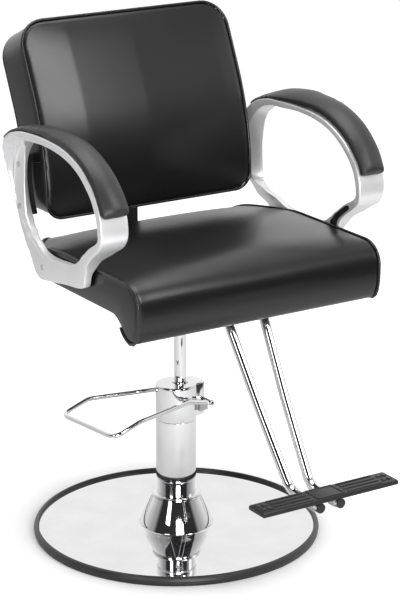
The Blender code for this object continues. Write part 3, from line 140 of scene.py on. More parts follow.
def end_effect(tree, tone, roughness=None, height=None):
    """Give an effect its sockets; tone goes from Dark to Light, roughness from Rough Min to Rough Max."""
    def socket(label, way, kind="Float"):
        tree.interface.new_socket(label, in_out=way, socket_type="NodeSocket" + kind)

    socket("Dark", "INPUT", "Color")
    socket("Light", "INPUT", "Color")
    socket("Color", "OUTPUT", "Color")
    if roughness is not None:
        socket("Rough Min", "INPUT")
        socket("Rough Max", "INPUT")
        socket("Roughness", "OUTPUT")
    if height is not None:
        socket("Height", "OUTPUT")
    given = node(tree, "NodeGroupInput").outputs
    mix = node(tree, "ShaderNodeMix", {0: tone, 6: given["Dark"], 7: given["Light"]}, data_type="RGBA")
    results = {"Color": mix.outputs[2]}
    if roughness is not None:
        results["Roughness"] = mapped(tree, roughness, 0.0, 1.0, given["Rough Min"], given["Rough Max"])
    if height is not None:
        results["Height"] = height
    node(tree, "NodeGroupOutput", results)
    return tree


print("helpers: start_effect, end_effect")

# %% [markdown]
# ## Studio floor
# The photograph has a white floor and no visible walls. A large pale floor takes the soft shadow, and far
# from the chair it glows a little, so that it ends in white. Leather and chrome mirror the floor in front
# of the chair, so for them it gets darker where the paper sweep of a studio ends. To the camera it stays
# pale.

# %% Floor
FLOOR_SIZE = 9.0
SWEEP_SIDE = (0.55, -0.83, 0.0)     # the way to the end of the sweep
floor_mesh = bmesh.new()
bmesh.ops.create_grid(floor_mesh, x_segments=4, y_segments=4, size=FLOOR_SIZE)
floor_data = bpy.data.meshes.new("floor")
floor_mesh.to_mesh(floor_data)
floor_mesh.free()
floor = bpy.data.objects.new("floor", floor_data)
scene.collection.objects.link(floor)
print("floor:", FLOOR_SIZE * 2, "m across")

# %% Floor finish
floor_finish = bpy.data.materials.new("floor_pale")
floor_finish.use_nodes = True
floor_shader = floor_finish.node_tree.nodes["Principled BSDF"]
floor_shader.inputs["Roughness"].default_value = 0.8
floor_shader.inputs["Specular IOR Level"].default_value = 0.1
floor_tree = floor_finish.node_tree
floor_place = node(floor_tree, "ShaderNodeTexCoord").outputs["Object"]
floor_reach = measure(floor_tree, "LENGTH", floor_place)
far_glow = mapped(floor_tree, floor_reach, 0.27, 0.50, 0.0, 0.5)
floor_seen = node(floor_tree, "ShaderNodeLightPath").outputs["Is Camera Ray"]
ahead = measure(floor_tree, "DOT_PRODUCT", floor_place, SWEEP_SIDE)
sweep = maths(floor_tree, "MAXIMUM", mapped(floor_tree, ahead, 1.4, 2.2, 0.76, 0.05),
              maths(floor_tree, "MULTIPLY", floor_seen, 0.93))
floor_tree.links.new(sweep, floor_shader.inputs["Base Color"])
floor_shader.inputs["Emission Color"].default_value = (1.0, 1.0, 1.0, 1.0)
floor_glow = maths(floor_tree, "MULTIPLY", far_glow, floor_seen)
floor_tree.links.new(floor_glow, floor_shader.inputs["Emission Strength"])
floor_data.materials.append(floor_finish)
print("floor finish:", floor_finish.name)

# %% [markdown]
# ## Light
# Five softboxes stand round the chair, as in a product studio. A bright sky alone would light it too, but
# rectangles of known size and place give leather and chrome the straight-edged highlights of the
# photograph. Chrome shows whatever stands round it, so the sky has a darker part on the camera's side, as
# a studio has behind the photographer.

# %% Sky
world = bpy.data.worlds.new("studio")
scene.world = world
world.use_nodes = True
sky = world.node_tree
direction = node(sky, "ShaderNodeTexCoord").outputs["Generated"]
camera_side = Vector((back_off.x, back_off.y, 0.0)).normalized()
facing = measure(sky, "DOT_PRODUCT", direction, camera_side)
wall = mapped(sky, facing, -0.70, 0.10, 1.05, 0.42)
glow = maths(sky, "MULTIPLY", wall, mapped(sky, facing, 0.22, 0.42, 1.0, 0.08))
seen = node(sky, "ShaderNodeLightPath").outputs["Is Camera Ray"]
level = maths(sky, "MAXIMUM", glow, seen)
background = sky.nodes["Background"]
sky.links.new(level, background.inputs["Color"])
background.inputs["Strength"].default_value = 1.0
print("sky: brighter behind the chair")


# %% Softboxes
def softbox(name, place, aim, width, height, power):
    """A rectangular light that points at a spot."""
    data = bpy.data.lights.new(name, "AREA")
    data.shape = "RECTANGLE"
    data.size = width
    data.size_y = height
    data.energy = power
    lamp = bpy.data.objects.new(name, data)
    lamp.location = place
    lamp.rotation_euler = (Vector(place) - Vector(aim)).to_track_quat("Z", "Y").to_euler()
    scene.collection.objects.link(lamp)


CHAIR_MIDDLE = (0.0, 0.0, 0.5)
BACK_MIDDLE = (-0.18, 0.2, 0.93)
softbox("light_key", (0.68, -2.165, 2.564), BACK_MIDDLE, 0.52, 1.75, 36.0)
softbox("light_front", (-1.1, -2.9, 0.95), CHAIR_MIDDLE, 1.2, 1.0, 50.0)
softbox("light_left", (-2.6, -1.4, 1.9), CHAIR_MIDDLE, 0.8, 1.4, 13.0)
softbox("light_top", (0.0, 0.1, 3.0), CHAIR_MIDDLE, 2.0, 1.6, 36.0)
softbox("light_right", (2.6, -1.4, 1.9), CHAIR_MIDDLE, 1.2, 1.2, 5.0)
scene.view_settings.view_transform = "Standard"

# %% [markdown]
# ## Surface effects
# Four effects serve nearly the whole chair, and each is a group of nodes. Coated leather comes first. It
# has fine pebbles with creases between them, over foam that is never quite flat. A picture of leather
# would need seams to wrap it, so layers of cells and noise make it instead. Its colour is darker where
# the grain lies low, between the pebbles and in the creases: that is painted shade. The gloss varies
# slowly, because fine specks in it would glitter.

# %% Leather grain
LEATHER_CELLS = 430.0       # pebbles per metre
tree, place = start_effect("Leather grain and crease shade")
cells = node(tree, "ShaderNodeTexVoronoi", {"Vector": place, "Scale": LEATHER_CELLS},
             feature="DISTANCE_TO_EDGE")
pebble = mapped(tree, cells.outputs["Distance"], 0.0, 0.16, 0.0, 1.0)
creases = noise(tree, place, 95.0, 2.0)
swell = noise(tree, place, 16.0, 2.0)
fine = maths(tree, "ADD", maths(tree, "MULTIPLY", pebble, 0.15), maths(tree, "MULTIPLY", creases, 0.3))
height = maths(tree, "ADD", fine, maths(tree, "MULTIPLY", swell, 2.5))
# The tone is darker where the grain lies low, between the pebbles and in the creases: painted shade in the
# grain.
tone = maths(tree, "ADD", maths(tree, "MULTIPLY", pebble, 0.4), maths(tree, "MULTIPLY", creases, 0.6))
gloss = mapped(tree, noise(tree, place, 9.0, 1.0), 0.2, 0.8, 0.32, 0.36)
leather_grain_and_shade = end_effect(tree, tone, gloss, height)
print("effect:", leather_grain_and_shade.name)

# %% [markdown]
# Polished metal that people handle carries faint smears and fine specks. They show in its gloss more than
# in its colour, so the two noises are multiplied and mostly feed the roughness.

# %% Polished metal
tree, place = start_effect("Handling marks")
smear = noise(tree, place, 14.0, 4.0)
specks = noise(tree, place, 260.0, 2.0)
haze = maths(tree, "MULTIPLY", smear, specks)
handling_marks = end_effect(tree, mapped(tree, smear, 0.3, 0.7, 0.0, 1.0),
                            mapped(tree, haze, 0.15, 0.45, 0.025, 0.075))
print("effect:", handling_marks.name)

# %% [markdown]
# Paint, plastic and rubber share a skin with tiny bumps and soft clouds. One group serves them all,
# because only its depth and its tones differ from finish to finish.

# %% Sprayed and moulded surfaces
tree, place = start_effect("Fine texture")
peel = noise(tree, place, 700.0, 2.0)
cloud = noise(tree, place, 22.0, 3.0)
fine_texture = end_effect(tree, cloud, maths(tree, "MULTIPLY", maths(tree, "ADD", peel, cloud), 0.5), peel)
print("effect:", fine_texture.name)

# %% [markdown]
# A lathe leaves rings on bolts, bushes and pins. They stand upright in the pump, so bands along the
# height are enough, a little distorted. Its gloss is even, and is set in the finish.

# %% Turned metal
RING_DENSITY = 320.0
tree, place = start_effect("Lathe rings")
spin = node(tree, "ShaderNodeTexWave", {"Vector": place, "Scale": RING_DENSITY, "Distortion": 0.6},
            bands_direction="Z")
lathe_rings = end_effect(tree, noise(tree, place, 40.0), height=spin.outputs["Fac"])
print("effect:", lathe_rings.name)

# %% [markdown]
# ## Finishes
# Every finish is a Principled shader. The shared effects drive its colour, roughness and bump, and each
# finish places them with its own values. What is the same all over a surface is set on the shader itself.


# %% Finish helper
def finish(name, effect, dark, light, rough, bump=0.0, metallic=0.0, coat=0.0):
    """A finish between two tones; rough is the range of roughness, bump a depth in metres."""
    made = bpy.data.materials.new(name)
    made.use_nodes = True
    tree = made.node_tree
    shader = tree.nodes["Principled BSDF"]
    shader.inputs["Metallic"].default_value = metallic
    shader.inputs["Coat Weight"].default_value = coat
    shader.inputs["Coat Roughness"].default_value = 0.25
    source = node(tree, "ShaderNodeGroup", {"Dark": (*dark, 1.0), "Light": (*light, 1.0)}, node_tree=effect)
    tree.links.new(source.outputs["Color"], shader.inputs["Base Color"])
    if "Roughness" in source.outputs:
        source.inputs["Rough Min"].default_value, source.inputs["Rough Max"].default_value = rough
        tree.links.new(source.outputs["Roughness"], shader.inputs["Roughness"])
    else:
        shader.inputs["Roughness"].default_value = rough[0]
    if bump:
        relief = node(tree, "ShaderNodeBump", {"Height": source.outputs["Height"], "Distance": bump})
        tree.links.new(relief.outputs["Normal"], shader.inputs["Normal"])
    return made


def grey(value):
    return (value, value, value * 1.01)


print("helpers: finish, grey")

# %% Leather and plastic
leather = finish("leather_black", leather_grain_and_shade, grey(0.0035), grey(0.0055), (0.0, 0.9), 0.0001, coat=0.1)
piping_leather = finish("leather_piping", leather_grain_and_shade, grey(0.005), grey(0.012), (0.0, 0.8), 0.0002,
                        coat=0.2)
pad_skin = finish("pad_skin", leather_grain_and_shade, grey(0.018), grey(0.023), (0.0, 1.25), 0.0001)
rubber = finish("rubber_grey", fine_texture, grey(0.020), grey(0.034), (0.26, 0.46), 0.00003)
plastic = finish("plastic_dark", fine_texture, grey(0.006), grey(0.011), (0.30, 0.50), 0.00004)
print("finishes:", [made.name for made in (leather, piping_leather, pad_skin, rubber, plastic)])

# %% Metals
cap_grey = finish("cap_grey", fine_texture, grey(0.52), grey(0.58), (0.30, 0.45), 0.00002, metallic=0.3)
chrome = finish("chrome", handling_marks, grey(0.74), grey(0.80), (0.0, 1.0), metallic=1.0)
silver = finish("silver_satin", fine_texture, grey(0.80), grey(0.86), (0.26, 0.40), 0.00002, metallic=0.45)
black_steel = finish("steel_powder_coat", fine_texture, grey(0.012), grey(0.020), (0.35, 0.6), 0.00005)
steel = finish("steel_turned", lathe_rings, grey(0.42), grey(0.52), (0.32, 0.32), 0.00002, metallic=1.0)
bronze = finish("bronze_turned", lathe_rings, (0.50, 0.33, 0.16), (0.60, 0.42, 0.22), (0.34, 0.34), 0.00002,
                metallic=1.0)
print("finishes:", [made.name for made in (cap_grey, chrome, silver, black_steel, steel, bronze)])

# %% [markdown]
# The board under the seat is plywood, stained dark. Noise that is stretched along the board gives its
# streaks, and they are the colour, the gloss and the relief at once.

# %% Plywood
GRAIN_SCALE = (40.0, 4.0, 900.0)    # streaks per metre along each axis
tree, place = start_effect("Wood grain")
stretched = node(tree, "ShaderNodeMapping", {"Vector": place, "Scale": GRAIN_SCALE}).outputs["Vector"]
streaks = noise(tree, stretched, 1.0, 6.0)
wood_grain = end_effect(tree, streaks, mapped(tree, streaks, 0.3, 0.7, 0.4, 0.6), streaks)
plywood = finish("plywood_stained", wood_grain, grey(0.010), grey(0.022), (0.2, 0.9), 0.0001)
print("finish:", plywood.name)

# %% [markdown]
# ## Shape helpers
# The metal pieces are turned or bent, so two ways of making a skin are enough: a profile that goes round
# an axis, and rings of points joined along a path. Modifiers could do both, but points in code can be
# measured and set to the millimetre. Corners are rounded in the outline, before the skin is made.


# %% Rounded paths
def soften(corners, closed=True, steps=5):
    """Round the corners of a path; each corner is (point, radius)."""
    points = []
    count = len(corners)
    for index, (spot, radius) in enumerate(corners):
        spot = Vector(spot)
        if radius <= 0.0 or (not closed and index in (0, count - 1)):
            points.append(spot)
            continue
        before = Vector(corners[index - 1][0]) - spot
        after = Vector(corners[(index + 1) % count][0]) - spot
        turn = math.pi - before.angle(after)
        reach = min(radius * math.tan(turn / 2.0), 0.48 * before.length, 0.48 * after.length)
        first = spot + before.normalized() * reach
        last = spot + after.normalized() * reach
        for step in range(steps + 1):
            t = step / steps
            points.append(first * (1.0 - t) ** 2 + spot * 2.0 * t * (1.0 - t) + last * t * t)
    return points


print("helper: soften")


# %% Turned skins
def lathe(bm, profile, place=Matrix(), segments=96):
    """Turn an outline of (radius, height) about the vertical."""
    rings = []
    for radius, height in profile:
        count = segments if radius > 1e-6 else 1
        angles = [2.0 * math.pi * index / segments for index in range(count)]
        rings.append([bm.verts.new(place @ Vector((radius * math.cos(a), radius * math.sin(a), height)))
                      for a in angles])
    for low, high in zip(rings, rings[1:] + rings[:1]):
        if len(low) + len(high) == 2:
            continue
        for index in range(segments):
            after = (index + 1) % segments
            corners = (low[index % len(low)], low[after % len(low)], high[after % len(high)],
                       high[index % len(high)])
            bm.faces.new(dict.fromkeys(corners))


print("helper: lathe")


# %% Lofted skins and bars
def loft(bm, rings, wrap=False):
    """Join closed rings of points; the ends are capped unless the last ring meets the first."""
    made = [[bm.verts.new(point) for point in ring] for ring in rings]
    for a, b in zip(made, made[1:] + (made[:1] if wrap else [])):
        for index in range(len(a)):
            after = (index + 1) % len(a)
            bm.faces.new((a[index], a[after], b[after], b[index]))
    if not wrap:
        bm.faces.new(made[0])
        bm.faces.new(made[-1])


def pipe(bm, path, radius, sides=16, wrap=False):
    """Round bar along a path; each ring is carried on from the one before without a twist."""
    count = len(path)
    runs = []
    for index in range(count):
        ahead = path[(index + 1) % count] if wrap or index < count - 1 else path[index]
        behind = path[index - 1] if wrap or index > 0 else path[index]
        runs.append((ahead - behind).normalized())
    across = runs[0].orthogonal().normalized()
    rings = []
    for spot, run in zip(path, runs):
        across = (across - run * across.dot(run)).normalized()
        other = run.cross(across)
        rings.append([spot + (across * math.cos(a) + other * math.sin(a)) * radius
                      for a in (2.0 * math.pi * index / sides for index in range(sides))])
    loft(bm, rings, wrap)


print("helpers: loft, pipe")


# %% Pieces
def piece(name, bm, material, body, slot, *nodes, sharp=35.0):
    """Turn a skin into a piece that rides on a body and stands for CAD nodes."""
    bmesh.ops.recalc_face_normals(bm, faces=bm.faces)
    mesh = bpy.data.meshes.new(name)
    bm.to_mesh(mesh)
    bm.free()
    return dress(bpy.data.objects.new(name, mesh), material, body, nodes, sharp)


def dress(obj, material, body, nodes, sharp=35.0):
    """Give a new object its finish, its smooth shading and its place on a body."""
    scene.collection.objects.link(obj)
    obj.data.materials.append(material)
    obj.data.shade_smooth()
    obj.data.set_sharp_from_angle(angle=math.radians(sharp))
    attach(obj, body)
    if nodes:
        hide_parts(*nodes)
    return obj


print("helpers: piece, dress")

# %% [markdown]
# ## Base
# The base is a heavy steel plate under a spun chrome cover, with a rubber ring pressed round its edge.
# The column stands 11 mm to one side of the swivel axis, because the ram is eccentric in the pump. Disc
# and bell are one sheet on the real base, so one profile is turned for both, and the mirror image runs on
# unbroken.

# %% Edge ring
PUMP_TURN = math.radians(7.5)
RAM_OFFSET = 0.011
pump = (Matrix.Translation((-RAM_OFFSET * math.cos(PUMP_TURN), -RAM_OFFSET * math.sin(PUMP_TURN), 0.0))
        @ Matrix.Rotation(PUMP_TURN, 4, "Z"))


def turned_piece(name, corners, material, body, slot, *nodes, place=pump, segments=128):
    """Turn an outline of (radius, height, rounding) into a piece."""
    bm = bmesh.new()
    outline = soften([((radius, height), rounding) for radius, height, rounding in corners])
    lathe(bm, [(max(0.0, spot.x), spot.y) for spot in outline], place, segments)
    return piece(name, bm, material, body, slot, *nodes)


ring_outline = [(0.2807, 0.0, 0.0), (0.2880, 0.0, 0.002), (0.2896, 0.0062, 0.001), (0.2890, 0.0068, 0.0004),
                (0.2900, 0.0076, 0.0008), (0.2899, 0.0105, 0.003), (0.2868, 0.0166, 0.005),
                (0.2830, 0.0180, 0.0015), (0.2812, 0.0180, 0.0010), (0.2807, 0.0168, 0.0)]
turned_piece("edge_ring", ring_outline, rubber, "base", "rubber", "base_edge_ring", segments=160)
print("base: edge ring of", len(ring_outline), "corners")

# %% Disc and bell
cover = [(0.2801, 0.0084), (0.2801, 0.0114), (0.2797, 0.0122), (0.2786, 0.0125)]
cover += [(0.2786 - 0.0201 * step, 0.0125 + 0.0005 * step / 10.0) for step in range(1, 11)]
cover += [(0.0760, 0.0133), (0.0750, 0.0139)]
BELL_STEPS = 24
for step in range(BELL_STEPS + 1):
    share = step / BELL_STEPS
    cover.append((0.0745 - 0.0260 * share ** 1.15, 0.0146 + 0.0589 * share))
cover += [(0.0388, 0.0735), (0.0388, 0.0715), (0.0455, 0.0712), (0.0725, 0.0112), (0.2780, 0.0106),
          (0.2780, 0.0084)]
cover_mesh = bmesh.new()
lathe(cover_mesh, cover, pump, 160)
piece("base_disc", cover_mesh, chrome, "base", "chrome", "base_cover", sharp=30.0)
print("base: disc with a bell of", BELL_STEPS, "steps")

# %% [markdown]
# ## Pump column
# The collar closes the bell, the neck and tube are one turned sleeve, and the head carries the pedal
# shaft. The head is a turned body joined with a rounded boss, then bored for the ram and the shaft.
# Booleans suit it better than a hand-made mesh, because that is how such a casting is machined.

# %% Column sleeve
collar = [(0.0388, 0.0738, 0.0), (0.0485, 0.0738, 0.001), (0.0495, 0.0750, 0.001), (0.0495, 0.0800, 0.002),
          (0.0470, 0.0818, 0.001), (0.0388, 0.0818, 0.0)]
turned_piece("column_ring", collar, chrome, "base", "chrome", "column_collar")
sleeve = [(0.0355, 0.0083, 0.0), (0.0385, 0.0083, 0.0), (0.0385, 0.1092, 0.0), (0.0398, 0.1104, 0.0008),
          (0.0405, 0.1120, 0.0008), (0.0405, 0.2390, 0.0005), (0.0355, 0.2390, 0.0)]
turned_piece("column_sleeve", sleeve, chrome, "base", "chrome", "pump_tube")
print("column: collar and sleeve")

# %% Boolean helpers
PIVOT = (0.047, 0.0, 0.274)
HEAD_TOP = 0.313
BOSS_HALF = 0.027
BOSS_REACH = 0.060
SHAFT_BORE = 0.0064
RAM_BORE = 0.0152


def cutter(name, bm):
    """Helper solid for a Boolean; it isn't shown."""
    bmesh.ops.recalc_face_normals(bm, faces=bm.faces)
    mesh = bpy.data.meshes.new(name)
    bm.to_mesh(mesh)
    bm.free()
    obj = bpy.data.objects.new(name, mesh)
    scene.collection.objects.link(obj)
    return obj


def combine(obj, other, operation):
    """Apply a Boolean to a mesh and drop the helper."""
    step = obj.modifiers.new("join", "BOOLEAN")
    step.operation = operation
    step.solver = "EXACT"
    step.object = other
    solid = bpy.data.meshes.new_from_object(obj.evaluated_get(bpy.context.evaluated_depsgraph_get()))
    obj.modifiers.remove(step)
    obj.data = solid
    bpy.data.objects.remove(other, do_unlink=True)


print("helpers: cutter, combine")

# %% Pump head
head_mesh = bmesh.new()
head_outline = soften([((0.0, 0.2395), 0.0), ((0.0412, 0.2395), 0.0006), ((0.0412, HEAD_TOP), 0.0045),
                       ((0.0, HEAD_TOP), 0.0)])
lathe(head_mesh, [(spot.x, spot.y) for spot in head_outline], pump, 96)
head = cutter("head_body", head_mesh)

boss_mesh = bmesh.new()
boss_outline = soften([((0.0, -BOSS_HALF), 0.0), ((BOSS_REACH, -BOSS_HALF), 0.018),
                       ((BOSS_REACH, BOSS_HALF), 0.018), ((0.0, BOSS_HALF), 0.0)], steps=10)
boss_levels = ((0.2415, -0.0015), (0.2430, 0.0), (0.3080, 0.0), (0.3092, -0.0005), (0.3100, -0.0018))
loft(boss_mesh, [[pump @ Vector((spot.x + inset, spot.y * (1.0 + inset / BOSS_HALF), level))
                  for spot in boss_outline] for level, inset in boss_levels])
combine(head, cutter("head_boss", boss_mesh), "UNION")

bores = bmesh.new()
lathe(bores, [(0.0, 0.23), (RAM_BORE, 0.23), (RAM_BORE, 0.33), (0.0, 0.33)], Matrix(), 48)
combine(head, cutter("ram_bore", bores), "DIFFERENCE")
cross = bmesh.new()
cross_place = pump @ Matrix.Translation(PIVOT) @ Matrix.Rotation(math.pi / 2.0, 4, "X")
lathe(cross, [(0.0, -0.05), (SHAFT_BORE, -0.05), (SHAFT_BORE, 0.05), (0.0, 0.05)], cross_place, 32)
combine(head, cutter("shaft_bore", cross), "DIFFERENCE")
head_data = head.data
bpy.data.objects.remove(head, do_unlink=True)
dress(bpy.data.objects.new("column_head", head_data), chrome, "base", ("pump_head",), 30.0)
print("column: head with", len(head_data.polygons), "faces")

# %% Wiper and ram
wiper = [(0.0123, 0.3133, 0.0), (0.0168, 0.3133, 0.0005), (0.0160, 0.3152, 0.001), (0.0137, 0.3163, 0.0005),
         (0.0123, 0.3163, 0.0)]
turned_piece("wiper_ring", wiper, chrome, "base", "chrome", "ram_wiper", place=Matrix(), segments=64)
ram_low, ram_high = (corner.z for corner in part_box("ram"))
ram_outline = [(0.0, ram_low, 0.0), (0.012, ram_low, 0.001), (0.012, ram_high, 0.002), (0.0, ram_high, 0.0)]
turned_piece("ram_rod", ram_outline, chrome, "seat", "chrome", "ram", place=Matrix(), segments=64)
print("column: wiper, and a ram of", round(ram_high - ram_low, 3), "m")

# %% [markdown]
# ## Pedal
# The pedal is one chromed wire bent into a loop. It is welded to a hollow cross shaft, whose open end
# shows beside the pump head. Half of the loop is described and mirrored, and a round bar follows its
# softened corners.

# %% Pedal
pivot = pump @ Matrix.Translation(PIVOT)
half_loop = [((-0.0063, 0.050, 0.0), 0.0), ((-0.052, 0.050, 0.0126), 0.05), ((-0.204, 0.0836, 0.018), 0.05),
             ((-0.269, 0.0836, 0.0), 0.022)]
loop_corners = [(pivot @ Vector((x, -y, z)), r) for (x, y, z), r in half_loop]
loop_corners += [(pivot @ Vector(spot), r) for spot, r in half_loop[::-1]]
loop_mesh = bmesh.new()
pipe(loop_mesh, soften(loop_corners, closed=False, steps=12), 0.0047, 20)
piece("pedal_wire", loop_mesh, chrome, "pedal", "chrome", "pedal_loop")

shaft_mesh = bmesh.new()
shaft_outline = soften([((0.003, -0.058), 0.0004), ((0.006, -0.058), 0.0008), ((0.006, 0.058), 0.0008),
                        ((0.003, 0.058), 0.0004)])
shaft_place = pivot @ Matrix.Rotation(math.pi / 2.0, 4, "X")
lathe(shaft_mesh, [(spot.x, spot.y) for spot in shaft_outline], shaft_place, 40)
piece("pedal_axle", shaft_mesh, chrome, "pedal", "chrome", "pedal_shaft")
print("pedal: wire and axle")

# %% [markdown]
# ## Return spring
# Inside the head, a coil under the plunger lifts the pedal again. It is pressed together as the plunger
# goes down. A rigid coil would be run through, and this one is rigid: it is drawn at one length and rides
# on the base, with a mesh of its own.

# %% Return spring
PLUNGER_X = 0.0325
SPRING_TURNS = 4
SPRING_LOW, SPRING_HIGH = 0.2443, 0.2539
SPRING_RADIUS = 0.003
SPRING_WIRE = 0.0005
TURN_STEPS = 24
coil = []
for step in range(SPRING_TURNS * TURN_STEPS + 1):
    angle = 2.0 * math.pi * step / TURN_STEPS
    level = SPRING_LOW + (SPRING_HIGH - SPRING_LOW) * step / (SPRING_TURNS * TURN_STEPS)
    x, y = SPRING_RADIUS * math.cos(angle), SPRING_RADIUS * math.sin(angle)
    coil.append(pump @ Vector((PLUNGER_X + x, y, level)))
coil_mesh = bmesh.new()
pipe(coil_mesh, coil, SPRING_WIRE, 8)
spring = piece("spring_coil", coil_mesh, steel, "base", "steel", "return_spring")
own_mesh(spring)
print("spring:", SPRING_TURNS, "turns")

# %% [markdown]
# ## Footrest
# Two chromed tubes come down from under the seat and carry a moulded tread. The tread has long ribs for
# grip, square studs at its ends and a plain framed field in the middle. Black plugs close the tubes. The
# raised forms are blocks with rounded edges that sit in the deck, because relief in the material alone
# would be flat in outline.

# %% Footrest rails
SEAT_LEVEL = 0.556
RAIL_RADIUS = 0.0095
TREAD_HALF = 0.1516
TREAD_FRONT = -0.5243
TREAD_REAR = -0.4738
TREAD_TOP = SEAT_LEVEL - 0.307
rail_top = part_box("footrest_rail_left")[1].z - RAIL_RADIUS
rail_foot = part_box("footrest_rail_left")[0].z + RAIL_RADIUS
for side, label in SIDES:
    rail = [((side * 0.0450, -0.030, rail_top), 0.0), ((side * 0.0410, -0.2245, rail_top), 0.050),
            ((side * 0.0310, -0.323, SEAT_LEVEL - 0.185), 0.9),
            ((side * 0.0225, -0.4235, rail_foot), 0.045),
            ((side * 0.0225, TREAD_FRONT + 0.006, rail_foot), 0.0)]
    path = soften(rail, closed=False, steps=14)
    rail_mesh = bmesh.new()
    pipe(rail_mesh, path, RAIL_RADIUS, 32)
    piece("rail_" + label, rail_mesh, chrome, "seat", "chrome", "footrest_rail_" + label)

    plug_mesh = bmesh.new()
    plug_outline = soften([((0.0, 0.0003), 0.0), ((RAIL_RADIUS, 0.0003), 0.0),
                           ((RAIL_RADIUS, 0.0028), 0.0016), ((0.0, 0.0028), 0.0)])
    plug_place = Matrix.Translation(path[-1]) @ Matrix.Rotation(math.pi / 2.0, 4, "X")
    lathe(plug_mesh, [(spot.x, spot.y) for spot in plug_outline], plug_place, 32)
    piece("plug_" + label, plug_mesh, plastic, "seat", "plastic", "rail_plug_" + label)
print("footrest: rails and plugs, rail path of", len(path), "points")


# %% Moulded blocks
def block(bm, low, high, edge, foot=0.0):
    """Moulded block with rounded upright corners, a rounded top edge and a slight draft."""
    middle = [(a + b) / 2.0 for a, b in zip(low, high)]
    half_x, half_y = (high[0] - low[0]) / 2.0, (high[1] - low[1]) / 2.0
    rings = []
    top = high[2] - edge
    levels = [(low[2] + foot, -foot), (low[2] + 2.0 * foot, 0.0)] if foot else [(low[2], 0.0)]
    levels += [(top + edge * math.sin(a), -edge * (1.0 - math.cos(a)))
               for a in (0.0, 0.5, 1.0, math.pi / 2.0)]
    for level, inset in levels:
        x, y = half_x + inset, half_y + inset
        corners = soften([((x, y), edge), ((-x, y), edge), ((-x, -y), edge), ((x, -y), edge)], steps=3)
        rings.append([Vector((middle[0] + spot.x, middle[1] + spot.y, level)) for spot in corners])
    loft(bm, rings)


print("helper: block")

# %% Tread
RIB_RISE = 0.0015
RIB_COUNT = 4
RIB_WIDTH = 0.0048
STUD = 0.009
SUNK = 0.001                # the raised forms start this far inside the deck
FRAME_HALF = 0.030          # plain field in the middle
FRAME_WIDTH = 0.0035
FRAME_EDGE = 0.003
tread_mesh = bmesh.new()
deck = TREAD_TOP - RIB_RISE
block(tread_mesh, (-TREAD_HALF, TREAD_FRONT, TREAD_TOP - 0.012), (TREAD_HALF, TREAD_REAR, deck), 0.003,
      0.0012)
rib_pitch = (TREAD_REAR - TREAD_FRONT - RIB_WIDTH - 0.008) / (RIB_COUNT - 1)
for side in (-1.0, 1.0):
    for index in range(RIB_COUNT):
        rib_y = TREAD_FRONT + 0.004 + rib_pitch * index
        span = sorted((side * 0.038, side * 0.1176))
        block(tread_mesh, (span[0], rib_y, deck - SUNK), (span[1], rib_y + RIB_WIDTH, TREAD_TOP), 0.0011)
    for column in range(2):
        for row in range(2):
            stud_x = side * (0.1286 + 0.012 * column) - STUD / 2.0
            stud_y = TREAD_FRONT + (TREAD_REAR - TREAD_FRONT) * (0.32 + 0.36 * row) - STUD / 2.0
            block(tread_mesh, (stud_x, stud_y, deck - SUNK), (stud_x + STUD, stud_y + STUD, TREAD_TOP), 0.0012)
field_x = FRAME_HALF - FRAME_WIDTH
frame_front, frame_rear = TREAD_FRONT + FRAME_EDGE, TREAD_REAR - FRAME_EDGE
field_front, field_rear = frame_front + FRAME_WIDTH, frame_rear - FRAME_WIDTH
for low_x, high_x, low_y, high_y in ((-FRAME_HALF, FRAME_HALF, frame_front, field_front),
                                     (-FRAME_HALF, FRAME_HALF, field_rear, frame_rear),
                                     (-FRAME_HALF, -field_x, frame_front, frame_rear),
                                     (field_x, FRAME_HALF, frame_front, frame_rear)):
    block(tread_mesh, (low_x, low_y, deck - SUNK), (high_x, high_y, TREAD_TOP), 0.001)
block(tread_mesh, (-field_x, field_front, deck - SUNK), (field_x, field_rear, deck + 0.0005), 0.0004)
piece("tread", tread_mesh, plastic, "seat", "plastic", "footrest_tread")
print("footrest: tread with", RIB_COUNT, "ribs on each side")

# %% [markdown]
# ## Arm frames
# Each arm is a casting that runs in a closed loop: a wide band on top, a front post, a thin plate on the
# seat's side, and a rear leg with a raised rim. Its section changes all the way round, so it is neither a
# bent bar nor a cut plate. The loop is described by stations instead, and a smooth curve runs through
# them. At each ring the section is a small polygon whose corners are rounded.

# %% Arm stations
ArmRing = namedtuple("ArmRing", "outer_y outer_z inner_y inner_z low high drop flare share tilt rib")
BAND = (0.258, 0.317)
PLATE = (0.2779, 0.2939)
LEG = 0.256
LINE = 0.0012               # depth of the line that sets off the hoop round the opening
TILT = 0.012
INNER_LIFT = 0.42           # the band is thinner at its inner edge
ARM_STEPS = 10


def strut(share):
    return tuple(a + (b - a) * share for a, b in zip(BAND, PLATE))


